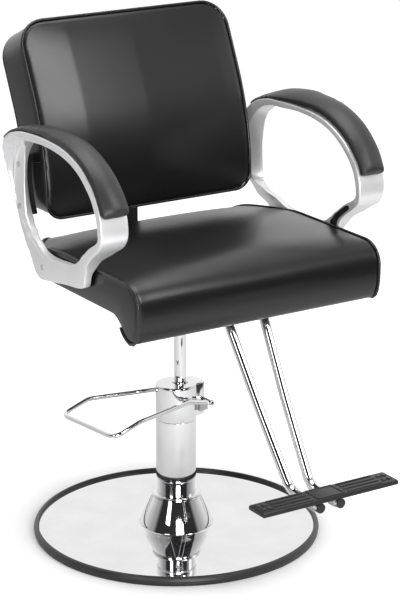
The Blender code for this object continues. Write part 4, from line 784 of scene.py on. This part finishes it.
ARM_STATIONS = [
    (0.040, 0.296, 0.030, 0.280, *BAND, LINE, 0.0, 0.50, TILT, 0.50),
    (-0.035, 0.298, -0.035, 0.283, *BAND, LINE, 0.0, 0.50, TILT, 0.50),
    (-0.105, 0.292, -0.100, 0.276, *BAND, LINE, 0.0, 0.50, TILT, 0.50),
    (-0.160, 0.273, -0.150, 0.259, *BAND, LINE, 0.0, 0.50, TILT, 0.50),
    (-0.203, 0.243, -0.190, 0.231, *BAND, LINE, 0.0, 0.50, TILT * 0.7, 0.50),
    (-0.231, 0.206, -0.215, 0.200, *BAND, LINE, 0.0, 0.50, TILT * 0.2, 0.50),
    (-0.240, 0.166, -0.225, 0.166, *BAND, LINE, 0.0, 0.50, 0.0, 0.50),
    (-0.231, 0.138, -0.219, 0.147, *strut(0.05), LINE, 0.0, 0.45, 0.0, 0.45),
    (-0.197, 0.114, -0.185, 0.129, *strut(0.30), LINE, 0.0, 0.40, 0.0, 0.40),
    (-0.161, 0.090, -0.146, 0.105, *strut(0.65), LINE, 0.0, 0.30, 0.0, 0.30),
    (-0.140, 0.060, -0.113, 0.083, *PLATE, LINE, 0.0, 0.20, 0.0, 0.20),
    (-0.126, 0.034, -0.088, 0.069, *PLATE, LINE, 0.0, 0.12, 0.0, 0.12),
    (-0.060, 0.024, -0.050, 0.065, *PLATE, LINE, 0.0, 0.12, 0.0, 0.12),
    (0.000, 0.015, -0.012, 0.063, *PLATE, LINE, 0.0, 0.12, 0.0, 0.12),
    (0.045, 0.014, 0.022, 0.066, *PLATE, LINE, 0.0, 0.14, 0.0, 0.14),
    (0.093, 0.058, 0.060, 0.080, LEG + 0.0185, LEG + 0.0325, LINE, 0.0, 0.25, 0.0, 0.25),
    (0.127, 0.084, 0.096, 0.095, LEG + 0.0090, LEG + 0.0255, LINE, 0.0, 0.40, 0.0, 0.40),
    (0.148, 0.114, 0.122, 0.109, LEG + 0.0015, LEG + 0.0225, LINE, 0.010, 0.60, 0.0, 0.60),
    (0.157, 0.137, 0.138, 0.132, LEG, LEG + 0.0235, 0.0014, 0.024, 0.68, 0.0, 0.60),
    (0.166, 0.172, 0.146, 0.166, LEG, LEG + 0.0280, 0.0060, 0.031, 0.70, 0.0, 0.58),
    (0.170, 0.203, 0.147, 0.196, LEG, LEG + 0.0340, 0.0120, 0.032, 0.72, 0.0, 0.36),
    (0.167, 0.228, 0.140, 0.226, LEG, LEG + 0.0410, 0.0180, 0.028, 0.74, 0.0, 0.16),
    (0.157, 0.251, 0.122, 0.250, LEG + 0.001, LEG + 0.0480, 0.0220, 0.016, 0.76, 0.0, 0.05),
    (0.130, 0.274, 0.097, 0.269, LEG + 0.002, LEG + 0.0560, 0.0200, 0.006, 0.68, TILT * 0.2, 0.08),
    (0.090, 0.289, 0.066, 0.278, LEG + 0.002, LEG + 0.0600, 0.0080, 0.002, 0.56, TILT * 0.7, 0.30),
]
print("arm stations:", len(ARM_STATIONS))


# %% Arm rings
def arm_rings(steps):
    """Rings of the arm: outlines and flare run on a smooth curve, the other values ease between stations."""
    rings = []
    count = len(ARM_STATIONS)
    for index in range(count):
        a, b, c, d = (ARM_STATIONS[(index + shift) % count] for shift in (-1, 0, 1, 2))
        for step in range(steps):
            t = step / steps
            ease = t * t * (3.0 - 2.0 * t)
            run = [0.5 * (2.0 * q + (r - p) * t + (2.0 * p - 5.0 * q + 4.0 * r - s) * t * t
                          + (3.0 * q - p - 3.0 * r + s) * t ** 3)
                   for p, q, r, s in zip(*(station[:4] + station[7:8] for station in (a, b, c, d)))]
            eased = [q + (r - q) * ease for q, r in zip(b, c)]
            rings.append(ArmRing(*run[:4], *eased[4:7], run[4], *eased[8:]))
    return rings


def arm_point(ring, side, out, x):
    """Point of an arm: out is the distance from the opening's edge, x the place across."""
    opening = Vector((ring.inner_y, ring.inner_z))
    away = (Vector((ring.outer_y, ring.outer_z)) - opening).normalized()
    lean = ring.tilt * (x - (ring.low + ring.high) / 2.0) / (ring.high - ring.low)
    spot = opening + away * (out + lean)
    return Vector((side * x, spot.x, SEAT_LEVEL + spot.y))


def arm_depth(ring):
    """Distance from the opening's edge to the outside."""
    return math.hypot(ring.outer_y - ring.inner_y, ring.outer_z - ring.inner_z)


ARM_RINGS = arm_rings(ARM_STEPS)
print("arm rings:", len(ARM_RINGS))


# %% Arm castings
def arm_outline(ring):
    """Rounded section as (out, x): opening, hoop face with its bead, rim, outside and inner face."""
    deep = arm_depth(ring)
    edge = min(0.0032, 0.28 * deep)
    face = ring.high - ring.drop
    rim = ring.share * deep
    rib = min(ring.rib * deep, rim - 0.0040)
    hollow = max(0.0, ring.drop - LINE)
    bead = min(0.0020, 0.14 * hollow)
    sunk = face - min(0.0030, 0.2 * hollow)
    fine = min(0.0009, 0.4 * ring.drop)
    corners = [((INNER_LIFT * ring.tilt, ring.low), edge), ((-ring.flare, face), edge),
               ((rib - 0.0010, face), 0.0006), ((rib, face + bead), 0.0006),
               ((rib + 0.0020, face + bead), 0.0006), ((rib + 0.0032, sunk), 0.0006), ((rim, sunk), fine),
               ((rim, ring.high), 0.0012), ((deep, ring.high), edge), ((deep, ring.low), edge)]
    return soften(corners, steps=3)


for side, label in SIDES:
    arm_mesh = bmesh.new()
    loft(arm_mesh, [[arm_point(ring, side, spot.x, spot.y) for spot in arm_outline(ring)]
                    for ring in ARM_RINGS], wrap=True)
    piece("arm_casting_" + label, arm_mesh, silver, "seat", "silver", "arm_frame_" + label, sharp=50.0)
print("arms: two castings")

# %% [markdown]
# The inner face of each strut has a long open slot, and the inside of it lies in shade. Cutting it would
# break the rings, so a thin dark strip lies in the face and follows the same rings: it is painted shade for
# the slot. Its ends are rounded.

# %% Painted shade in the strut slots
SLOT_FIRST, SLOT_LAST = 78, 102
for side, label in SIDES:
    slot_shade_sections = []
    for index in range(SLOT_FIRST, SLOT_LAST + 1):
        ring = ARM_RINGS[index]
        deep = arm_depth(ring)
        end = min(1.0, (min(index - SLOT_FIRST, SLOT_LAST - index) + 0.3) / 3.0)
        half = 0.29 * deep * math.sqrt(1.0 - (1.0 - end) ** 2)
        corners = ((0.5 * deep - half, -0.0004), (0.5 * deep + half, -0.0004), (0.5 * deep + half, 0.0006),
                   (0.5 * deep - half, 0.0006))
        slot_shade_sections.append([arm_point(ring, side, out, ring.low + shift) for out, shift in corners])
    slot_shade_mesh = bmesh.new()
    loft(slot_shade_mesh, slot_shade_sections)
    # The dark strip is painted shade inside the slot, not a lining of the casting.
    piece("arm_slot_shade_" + label, slot_shade_mesh, plastic, "seat", "plastic")
print("slots: one in each strut")

# %% [markdown]
# Small caps hide the screws of each arm. A turned profile with a groove near its edge gives the fine ring
# that shows in the photograph. Each cap takes its place from the solid that it stands for.

# %% Screw caps
CAP_RADIUS = 0.0056
cap_outline = soften([((0.0, 0.0), 0.0), ((CAP_RADIUS, 0.0), 0.0), ((CAP_RADIUS, 0.0014), 0.0005),
                      ((0.0047, 0.0014), 0.0005), ((0.0043, 0.0006), 0.0002), ((0.0038, 0.0014), 0.0004),
                      ((0.0, 0.0021), 0.0)])
for side, label in SIDES:
    for cap in ("arm_leg_screw_%s_1", "arm_leg_screw_%s_2", "arm_plate_screw_%s"):
        cap_node = cap % label
        low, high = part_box(cap_node)
        seat_x = high.x - 0.002 if side > 0.0 else low.x + 0.002
        cap_place = (Matrix.Translation((seat_x, (low.y + high.y) / 2.0, (low.z + high.z) / 2.0))
                     @ Matrix.Rotation(side * math.pi / 2.0, 4, "Y"))
        cap_mesh = bmesh.new()
        lathe(cap_mesh, [(spot.x, spot.y) for spot in cap_outline], cap_place, 40)
        piece(cap_node + "_cap", cap_mesh, cap_grey, "seat", "silver", cap_node)
print("caps: 3 on each arm")

# %% [markdown]
# ## Upholstery
# A padded piece is a leather skin over foam. Its panels are sewn together along the seams, so the foam
# pushes the skin out everywhere except there. A modelled swell would be too even. Blender's cloth does
# what foam does: the skin is evened out, the seams are held, and a little air pressure fills the panels.
# The movement is capped so that the piece keeps its room.


# %% Even skins
def evened(bm, voxel):
    """Mesh of a closed form with even faces."""
    bmesh.ops.recalc_face_normals(bm, faces=bm.faces)
    rough = bpy.data.meshes.new("form")
    bm.to_mesh(rough)
    bm.free()
    form = bpy.data.objects.new("form", rough)
    scene.collection.objects.link(form)
    step = form.modifiers.new("even", "REMESH")
    step.mode = "VOXEL"
    step.voxel_size = voxel
    even = bpy.data.meshes.new_from_object(form.evaluated_get(bpy.context.evaluated_depsgraph_get()))
    bpy.data.objects.remove(form, do_unlink=True)
    return even


def cushion(name, bm, voxel, node_name, skin=leather):
    """Padded piece made of a closed form."""
    obj = bpy.data.objects.new(name, evened(bm, voxel))
    scene.collection.objects.link(obj)
    obj.data.materials.append(skin)
    obj.data.shade_smooth()
    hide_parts(node_name)
    return obj


print("helpers: evened, cushion")


# %% Seams
def point_tree(spots):
    """Search tree for the nearest of some points."""
    tree = KDTree(len(spots))
    for index, spot in enumerate(spots):
        tree.insert(spot, index)
    tree.balance()
    return tree


def nearness(paths, reach):
    """Function that is 1 for points closer than reach to any of the paths, else 0."""
    tree = point_tree([spot for path in paths for spot in path])
    return lambda point: 1.0 if tree.find(point)[2] < reach else 0.0


def dense(path, gap=0.003, closed=False):
    """Points along a path at most a gap apart."""
    points = []
    for a, b in zip(path, path[1:] + (path[:1] if closed else [])):
        count = max(1, math.ceil((b - a).length / gap))
        points += [a.lerp(b, step / count) for step in range(count)]
    return points + ([] if closed else [path[-1]])


def pinch(obj, seam, reach=0.008, depth=0.0018):
    """Draw the cover in along a sewn seam, so that the cord lies in a small valley."""
    tree = point_tree(seam)
    for vertex in obj.data.vertices:
        share = tree.find(vertex.co)[2] / reach
        if share < 1.0:
            vertex.co -= vertex.normal * depth * (1.0 - share * share)


print("helpers: point_tree, nearness, dense, pinch")


# %% Filling with air
def relax(obj, held, rounds=30):
    """Smooth the skin away from its seams, as foam does."""
    bm = bmesh.new()
    bm.from_mesh(obj.data)
    free = [vertex for vertex in bm.verts if not held(vertex.co)]
    for _ in range(rounds):
        bmesh.ops.smooth_vert(bm, verts=free, factor=0.5, use_axis_x=True, use_axis_y=True, use_axis_z=True)
    bm.to_mesh(obj.data)
    bm.free()


def blown(obj, pressure, frames):
    """Places of the skin's points after some frames of air pressure; the group named sewn stays."""
    cloth = obj.modifiers.new("skin", "CLOTH")
    cloth.settings.quality = 5
    cloth.settings.mass = 0.25
    cloth.settings.tension_stiffness = 12.0
    cloth.settings.compression_stiffness = 12.0
    cloth.settings.shear_stiffness = 4.0
    cloth.settings.bending_stiffness = 1.5
    cloth.settings.use_pressure = True
    cloth.settings.uniform_pressure_force = pressure
    cloth.settings.effector_weights.gravity = 0.0
    cloth.settings.vertex_group_mass = "sewn"
    cloth.point_cache.frame_start = 1
    cloth.point_cache.frame_end = frames
    for step in range(1, frames + 1):
        scene.frame_set(step)
    filled = obj.evaluated_get(bpy.context.evaluated_depsgraph_get()).data
    moved = [vertex.co.copy() for vertex in filled.vertices]
    obj.modifiers.remove(cloth)
    scene.frame_set(1)
    return moved


def inflate(obj, held, pressure, cap, keep, frames=20):
    """Fill a skin with air; held points stay, and keep(point) brings a point back into its room."""
    rest = [vertex.co.copy() for vertex in obj.data.vertices]
    sewn = obj.vertex_groups.new(name="sewn")
    sewn.add([index for index, spot in enumerate(rest) if held(spot)], 1.0, "REPLACE")
    moved = blown(obj, pressure, frames)
    furthest = 0.0
    for vertex, start, end in zip(obj.data.vertices, rest, moved):
        push = end - start
        if push.length > cap:
            push = push.normalized() * cap
        furthest = max(furthest, push.length)
        vertex.co = keep(start + push)
    obj.vertex_groups.remove(sewn)
    relax(obj, held)
    step = obj.modifiers.new("smooth", "SUBSURF")
    step.levels = 1
    step.render_levels = 1
    print(obj.name + ":", len(rest), "points, moved up to", round(furthest * 1000.0, 1), "mm")


print("helpers: relax, blown, inflate")

# %% Piping
PIPING_RADIUS = 0.0028
PIPING_STAND = -0.0010      # the cord's middle lies this far outside the seam, so it is sunk


def piping(name, path, padding, radius=PIPING_RADIUS, stand=PIPING_STAND, closed=False):
    """Covered cord that is sewn into a seam."""
    tree = point_tree([vertex.co for vertex in padding.data.vertices])
    lifts = []
    for spot in path:
        near = [padding.data.vertices[index].normal for _, index, _ in tree.find_n(spot, 24)]
        lifts.append(sum(near, Vector()).normalized() * stand)
    count = len(path)
    cord = []
    for index, spot in enumerate(path):
        window = [lifts[(index + shift) % count] if closed else lifts[min(count - 1, max(0, index + shift))]
                  for shift in range(-4, 5)]
        cord.append(spot + sum(window, Vector()) / len(window))
    bm = bmesh.new()
    pipe(bm, cord, radius, 12, wrap=closed)
    piece(name, bm, piping_leather, "seat", "leather")


print("helper: piping")

# %% [markdown]
# ## Seat
# One long panel runs over the top of the seat, round the nose and down the lip. Two side panels and the
# rear close it, and a piped seam follows the edge from the bottom of the lip, round the rear corners and
# back. The form is lofted from front to rear, with close rows where the nose curves.

# %% Seat outline
SEAT_HALF = 0.2713
SEAT_FRONT = -0.2925
SEAT_REAR = 0.145
SEAT_SIDE = 0.0725
NOSE_START = -0.245
NOSE_MIDDLE = 0.030
REAR_EDGE = 0.026
REAR_CORNER = 0.100
LIP = ((-0.2925, 0.015), (-0.2915, -0.004), (-0.2880, -0.021), (-0.2820, -0.033), (-0.2735, -0.0395),
       (-0.262, -0.0418), (-0.250, -0.0385), (-0.240, -0.0325), (-0.2315, -0.025), (-0.2270, -0.018),
       (-0.2220, -0.010), (-0.2140, -0.0045), (-0.206, -0.001), (-0.197, 0.0))  # underside, from the front
REAR_FALL = 0.012          # the side seam drops this much towards the rear
SEAT_CROWN = 0.013


def ease(value, low, high):
    share = min(1.0, max(0.0, (value - low) / (high - low)))
    return share * share * (3.0 - 2.0 * share)


def seat_top(y):
    if y < NOSE_START:
        past = (NOSE_START - y) / (NOSE_START - SEAT_FRONT)
        return NOSE_MIDDLE + (SEAT_SIDE - NOSE_MIDDLE) * math.sqrt(max(0.0, 1.0 - past * past))
    side = SEAT_SIDE - REAR_FALL * ease(y, -0.03, 0.10)
    past = max(0.0, y - SEAT_REAR + REAR_EDGE)
    return side - REAR_EDGE + math.sqrt(max(0.0, REAR_EDGE ** 2 - past ** 2))


def seat_bottom(y):
    """Height of the underside: a rounded lip hangs down behind the nose."""
    for (y_a, z_a), (y_b, z_b) in zip(LIP, LIP[1:]):
        if y <= y_b:
            return z_a + (z_b - z_a) * max(0.0, (y - y_a) / (y_b - y_a))
    return LIP[-1][1]


def seat_half(y):
    past = max(0.0, y - SEAT_REAR + REAR_CORNER)
    return SEAT_HALF - REAR_CORNER + math.sqrt(max(0.0, REAR_CORNER ** 2 - past ** 2))


print("seat: lip of", len(LIP), "points")


# %% Seat form
def seat_ring(y):
    """Section of the seat: crowned top, side panels that swell a little, flat underside."""
    half, top, bottom = seat_half(y), seat_top(y), seat_bottom(y)
    along = (y - SEAT_FRONT) / (SEAT_REAR - SEAT_FRONT)
    crown = SEAT_CROWN * (0.25 + 0.75 * math.sin(math.pi * along) ** 0.8)
    upper = [(half * share, top + crown * (1.0 - abs(share) ** 2.2))
             for share in (step / 12.0 - 1.0 for step in range(25))]
    down = [(half + 0.003 * math.sin(math.pi * share), top + (bottom - top) * share)
            for share in (step / 8.0 for step in range(1, 8))]
    under = [(half * share, bottom) for share in (1.0, 0.5, 0.0, -0.5, -1.0)]
    ring = upper + down + under + [(-x, z) for x, z in down[::-1]]
    return [Vector((x, y, SEAT_LEVEL + z)) for x, z in ring]


nose_rows = [SEAT_FRONT + (NOSE_START - SEAT_FRONT) * (1.0 - math.cos(math.radians(angle)))
             for angle in range(4, 90, 6)]
flat_rows = [NOSE_START + 0.004 * step for step in range(13)]
flat_rows += [flat_rows[-1] + (0.045 - flat_rows[-1]) * step / 30.0 for step in range(1, 31)]
rear_rows = [0.045 + REAR_CORNER * math.sin(math.radians(angle)) for angle in range(6, 90, 6)]
seat_rows = nose_rows + flat_rows + rear_rows
seat_mesh = bmesh.new()
loft(seat_mesh, [seat_ring(y) for y in seat_rows])
seat = cushion("seat_padding", seat_mesh, 0.005, "seat_cushion")
print("seat form:", len(seat_rows), "rows")

# %% Seat padding
edge = [(SEAT_HALF, y, z) for y, z in LIP[::-1] if y < -0.225]
edge += [(seat_half(y), y, seat_top(y)) for y in seat_rows]
seam = [Vector((-x, y, SEAT_LEVEL + z)) for x, y, z in edge]
seam += [Vector((x, y, SEAT_LEVEL + z)) for x, y, z in edge[::-1]]
seam = dense(seam)
near_seam = nearness([seam], 0.006)


def seat_held(spot):
    return near_seam(spot) or spot.z < SEAT_LEVEL + seat_bottom(spot.y) + 0.004


def seat_room(spot):
    half = seat_half(min(spot.y, SEAT_REAR)) + 0.0056
    y = max(SEAT_FRONT - 0.010, min(SEAT_REAR + 0.003, spot.y))
    return Vector((max(-half, min(half, spot.x)), y, spot.z))


inflate(seat, seat_held, 3.0, 0.007, seat_room)
pinch(seat, seam)
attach(seat, "seat")
piping("seat_piping", seam, seat)
print("seat piping:", len(seam), "points")

# %% [markdown]
# ## Back
# The back is a foam slab between a front panel and a rear panel, joined by a border. It stands upright at
# the bottom and curves to a lean of 25 degrees. A piped seam runs round the front panel. The cover was
# once folded, and its fold lines still part the front into flat fields that mirror the lights
# differently. The cloth makes the border swell, and afterwards the front is set back to these fields.

# %% Back curve
BACK_FRONT = 0.105
BACK_LOW = SEAT_LEVEL + 0.101
UPRIGHT = 0.023
LUMBAR = 0.520
RECLINE = math.radians(25.0)
BACK_LENGTH = UPRIGHT + LUMBAR * RECLINE + 0.143
BACK_HALF = 0.237
BACK_DEEP = 0.090


def back_point(across, along, depth):
    """Point of the back: along the front seam from the bottom, depth forward of the seam."""
    lean = min(max((along - UPRIGHT) / LUMBAR, 0.0), RECLINE)
    beyond = along - UPRIGHT - LUMBAR * lean
    y = BACK_FRONT + LUMBAR * (1.0 - math.cos(lean)) + beyond * math.sin(lean)
    z = BACK_LOW + UPRIGHT + LUMBAR * math.sin(lean) + beyond * math.cos(lean)
    return Vector((across, y - depth * math.cos(lean), z + depth * math.sin(lean)))


def back_depth(spot):
    """Depth of a point forward of the front seam."""
    middle_y, middle_z = BACK_FRONT + LUMBAR, BACK_LOW + UPRIGHT
    lean = math.atan2(spot.z - middle_z, middle_y - spot.y)
    if lean < 0.0:
        return BACK_FRONT - spot.y
    if lean < RECLINE:
        return math.hypot(spot.z - middle_z, middle_y - spot.y) - LUMBAR
    return (middle_y - spot.y) * math.cos(RECLINE) + (spot.z - middle_z) * math.sin(RECLINE) - LUMBAR


print("back:", round(BACK_LENGTH, 3), "m along its front")


# %% Back sections
def back_rows(inset, top=0.055, bottom=0.035, arc=8, middle=22):
    """Rows of (along, half width) of a panel with rounded corners."""
    half = BACK_HALF - inset
    rows = []
    for step in range(arc + 1):
        angle = math.pi / 2.0 * step / arc
        rows.append((inset + bottom * (1.0 - math.cos(angle)), half - bottom * (1.0 - math.sin(angle))))
    span = BACK_LENGTH - 2.0 * inset - top - bottom
    rows += [(inset + bottom + span * step / middle, half) for step in range(1, middle)]
    for step in range(arc, -1, -1):
        angle = math.pi / 2.0 * step / arc
        along = BACK_LENGTH - inset - top * (1.0 - math.cos(angle))
        rows.append((along, half - top * (1.0 - math.sin(angle))))
    return rows


def back_ring(along, half, front, rear):
    """Section of a panel at one height: the front face, then the rear face the other way."""
    shares = [step / 12.0 - 1.0 for step in range(25)]
    fore = [back_point(half * share, along, front(share, along)) for share in shares]
    aft = [back_point(half * share, along, rear) for share in shares[::-1]]
    return fore + aft


def back_edge(rows, depth):
    """Closed path round a panel's edge."""
    right = [back_point(half, along, depth) for along, half in rows]
    left = [back_point(-half, along, depth) for along, half in rows[::-1]]
    return dense(right + left, 0.004, closed=True)


print("helpers: back_rows, back_ring, back_edge")

# %% Back form
BACK_FIELDS = ((-0.237, 0.0), (-0.225, 0.0022), (-0.138, 0.0108), (0.004, 0.0124), (0.195, 0.0050),
               (0.225, 0.0030), (0.237, 0.0))      # depth of the front panel across its width


def back_field(across, along):
    """Depth of the front panel: flat fields that meet in the fold lines."""
    depth = 0.0
    for (x_a, d_a), (x_b, d_b) in zip(BACK_FIELDS, BACK_FIELDS[1:]):
        if x_a <= across <= x_b:
            depth = d_a + (d_b - d_a) * (across - x_a) / (x_b - x_a)
    return depth * (1.0 - abs(2.0 * along / BACK_LENGTH - 1.0) ** 5)


def back_crown(share, along):
    return back_field(BACK_HALF * share, along)


back_mesh = bmesh.new()
rows = back_rows(0.0)
loft(back_mesh, [back_ring(along, half, back_crown, -BACK_DEEP) for along, half in rows])
backrest = cushion("back_padding", back_mesh, 0.005, "back_cushion")
print("back form:", len(rows), "rows")

# %% Back padding
SWELLING = 0.2              # part of the swelling that stays on the front panel
front_seam = back_edge(rows, 0.0)
near_front = nearness([front_seam], 0.006)


def back_held(spot):
    return near_front(spot) or back_depth(spot) < -BACK_DEEP + 0.006


def back_room(spot):
    wide = BACK_HALF + 0.004
    return Vector((max(-wide, min(wide, spot.x)), spot.y, max(BACK_LOW - 0.004, spot.z)))


inflate(backrest, back_held, 1.8, 0.007, back_room)


def fold_panel(obj):
    """Set the front panel to its flat fields; a part of the swelling stays."""
    for vertex in obj.data.vertices:
        spot = vertex.co
        depth = back_depth(spot)
        if depth < 0.0:
            continue
        lean = min(max(math.atan2(spot.z - BACK_LOW - UPRIGHT, BACK_FRONT + LUMBAR - spot.y), 0.0), RECLINE)
        out = Vector((0.0, -math.cos(lean), math.sin(lean)))
        foot = spot - out * depth
        upward = Vector((0.0, math.sin(lean), math.cos(lean)))
        beyond = (foot - back_point(spot.x, UPRIGHT + LUMBAR * lean, 0.0)).dot(upward)
        flat = back_field(spot.x, UPRIGHT + LUMBAR * lean + beyond)
        vertex.co = foot + out * (flat + SWELLING * (depth - flat))


fold_panel(backrest)
pinch(backrest, front_seam)
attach(backrest, "seat")
piping("back_piping", front_seam, backrest, closed=True)
print("back piping:", len(front_seam), "points")

# %% [markdown]
# The border is pieced together on both sides, low down behind the arms. A thin cord across it stands for
# the seam, because a groove would be finer than the faces of the padding.

# %% Border seams
BORDER_JOIN = 0.115         # height of the join along the front
for side, label in SIDES:
    join = [back_point(side * (BACK_HALF + 0.0036), BORDER_JOIN, -depth)
            for depth in (0.006, 0.020, 0.045, 0.070, 0.084)]
    join_mesh = bmesh.new()
    pipe(join_mesh, dense(join), 0.0011, 10)
    piece("border_seam_" + label, join_mesh, piping_leather, "seat", "leather")
print("border: a seam on each side")

# %% [markdown]
# A covered board closes the back. It is a thin shell that follows the same curve, with a beveled edge,
# and a finer piping hides the gap to the border.

# %% Rear panel
PANEL_FRONT = -BACK_DEEP - 0.0006
PANEL_REAR = PANEL_FRONT - 0.0095
panel_mesh = bmesh.new()
panel_rings = []
for along, half in back_rows(0.006, arc=6, middle=16):
    panel_rings.append(back_ring(along, half, lambda share, place: PANEL_FRONT, PANEL_REAR))
loft(panel_mesh, panel_rings)
panel = piece("back_panel", panel_mesh, leather, "seat", "leather", "back_shell", sharp=60.0)
rounding = panel.modifiers.new("rounding", "BEVEL")
rounding.width = 0.003
rounding.segments = 3
rounding.limit_method = "ANGLE"
rounding.angle_limit = math.radians(50.0)
rear_seam = back_edge(back_rows(0.003), -BACK_DEEP + 0.001)
piping("back_rear_piping", rear_seam, backrest, radius=0.0022, stand=0.0016, closed=True)
print("rear panel:", len(panel_rings), "rings")

# %% [markdown]
# ## Arm pads
# The pads are foam moulded in a soft skin, so they have no piping. They lie along the band and end in a
# rounded nose on the front post. Each pad is lofted along the rings of its arm, so it fits the band, and
# a little air pressure rounds it.

# %% Pad sections
PAD_EDGE = 0.006
PAD_CROWN = 0.0150
PAD_GAP = 0.0009
PAD_LEAN = 0.005           # the pad is higher on its inner side
PAD_ENDS = (0.018, 0.007)   # length of the rounding at the rear end and at the front end
PAD_NOSES = (0.016, 0.0045)
PAD_FIRST = -26
PAD_LAST = 54
pad_rings = ARM_RINGS[PAD_FIRST:] + ARM_RINGS[:PAD_LAST]


def pad_height(y):
    """Share of the full height: the pad gets thinner towards the back."""
    return 0.62 + 0.38 * min(1.0, max(0.0, (0.085 - y) / 0.105))


def quarter(left, length):
    """Quarter circle from 0 at an end to 1 at the given length from it."""
    return math.sqrt(max(0.0, 1.0 - (1.0 - min(1.0, left / length)) ** 2))


def pad_sections(side):
    """Closed sections along a pad, thinner and narrower towards its ends."""
    places = [0.0]
    for a, b in zip(pad_rings, pad_rings[1:]):
        places.append(places[-1] + math.hypot(b.outer_y - a.outer_y, b.outer_z - a.outer_z))
    sections = []
    for ring, place in zip(pad_rings, places):
        lefts = (place, places[-1] - place)
        thick = min(quarter(left, length) for left, length in zip(lefts, PAD_ENDS))
        nose = max(length * (1.0 - quarter(left, length)) for left, length in zip(lefts, PAD_NOSES))
        half = (ring.high - ring.low) / 2.0 - 0.001 - nose
        middle = (ring.high + ring.low) / 2.0
        deep = arm_depth(ring) + PAD_GAP
        shares = [step / 10.0 - 1.0 for step in range(21)]
        rise = (0.25 + 0.75 * thick) * pad_height(ring.outer_y)
        lean = PAD_LEAN * thick * ease(-ring.outer_y, 0.0, 0.08)
        top = []
        for share in shares:
            crown = rise * (PAD_EDGE + PAD_CROWN * (1.0 - share * share) ** 0.6)
            slope = lean * share * (1.0 if share < 0.0 else 0.4)
            top.append(arm_point(ring, side, deep + crown - slope, middle + half * share))
        under = [arm_point(ring, side, deep, middle + half * share) for share in shares[::-1]]
        sections.append(top + under)
    return sections


print("pad:", len(pad_rings), "rings")

# %% Arm pads
for side, label in SIDES:
    pad_mesh = bmesh.new()
    sections = pad_sections(side)
    loft(pad_mesh, sections)
    pad = cushion("pad_" + label, pad_mesh, 0.004, "arm_pad_" + label, pad_skin)
    rims = [[section[corner] for section in sections] for corner in (0, 20, 26, 30, 34)]
    near_rim = nearness([dense(rim, 0.004) for rim in rims], 0.0075)
    inflate(pad, near_rim, 4.0, 0.004, lambda spot: spot)
    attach(pad, "seat")

# %% [markdown]
# ## What is left of the frame
# The pieces under the seat, inside the pump and behind the back keep their CAD shape. Each gets its
# finish. Their meshes stay as they are, so a small node modifier shades the round faces smoothly and
# keeps the edges crisp.

# %% Crisp edges
CRISP_ANGLE = math.radians(32.0)
crisp = bpy.data.node_groups.new("Crisp edges", "GeometryNodeTree")
crisp.interface.new_socket("Geometry", in_out="INPUT", socket_type="NodeSocketGeometry")
crisp.interface.new_socket("Geometry", in_out="OUTPUT", socket_type="NodeSocketGeometry")
start = node(crisp, "NodeGroupInput").outputs[0]
merged = node(crisp, "GeometryNodeMergeByDistance", {"Geometry": start, "Distance": 0.00001}).outputs[0]
smooth = node(crisp, "GeometryNodeSetShadeSmooth", {"Geometry": merged}).outputs[0]
bend = node(crisp, "GeometryNodeInputMeshEdgeAngle").outputs["Unsigned Angle"]
sharp = node(crisp, "FunctionNodeCompare", {0: bend, 1: CRISP_ANGLE}, operation="GREATER_THAN").outputs[0]
edges = node(crisp, "GeometryNodeSetShadeSmooth",
             {"Geometry": smooth, "Selection": sharp, "Shade Smooth": False}, domain="EDGE").outputs[0]
node(crisp, "NodeGroupOutput", {"Geometry": edges})
print("modifier:", crisp.name)

# %% Frame finishes
BY_SLOT = {"steel": steel, "black_steel": black_steel, "bronze": bronze, "rubber": rubber, "plastic": plastic,
           "plywood": plywood}
SLOT_OF = {
    "steel": ("foot_valve", "cylinder_liner", "piston_head", "pump_cam", "pump_plunger",
              "shaft_keeper", "tread_strap", "strap_screw", "foot_bolt_1", "foot_bolt_2", "foot_bolt_3",
              "bracket_bolt_1", "bracket_bolt_2", "bracket_bolt_3", "bracket_bolt_4", "clamp_bolt_1",
              "clamp_bolt_2", "back_bar_bolt_1", "back_bar_bolt_2", "back_screw_1", "back_screw_2"),
    "black_steel": ("base_plate", "pump_foot_flange", "seat_bracket", "back_bar", "footrest_clamp"),
    "bronze": ("ram_bush", "thrust_washer"),
    "rubber": ("piston_seal",),
    "plastic": ("arm_backing_left", "arm_backing_right"),
    "plywood": ("seat_board",),
}
for slot_name, names in SLOT_OF.items():
    for name in names:
        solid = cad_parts[name]
        solid.material_slots[0].material = BY_SLOT[slot_name]
        shading = solid.modifiers.new("crisp", "NODES")
        shading.node_group = crisp
print("frame pieces with a finish:", sum(len(names) for names in SLOT_OF.values()))
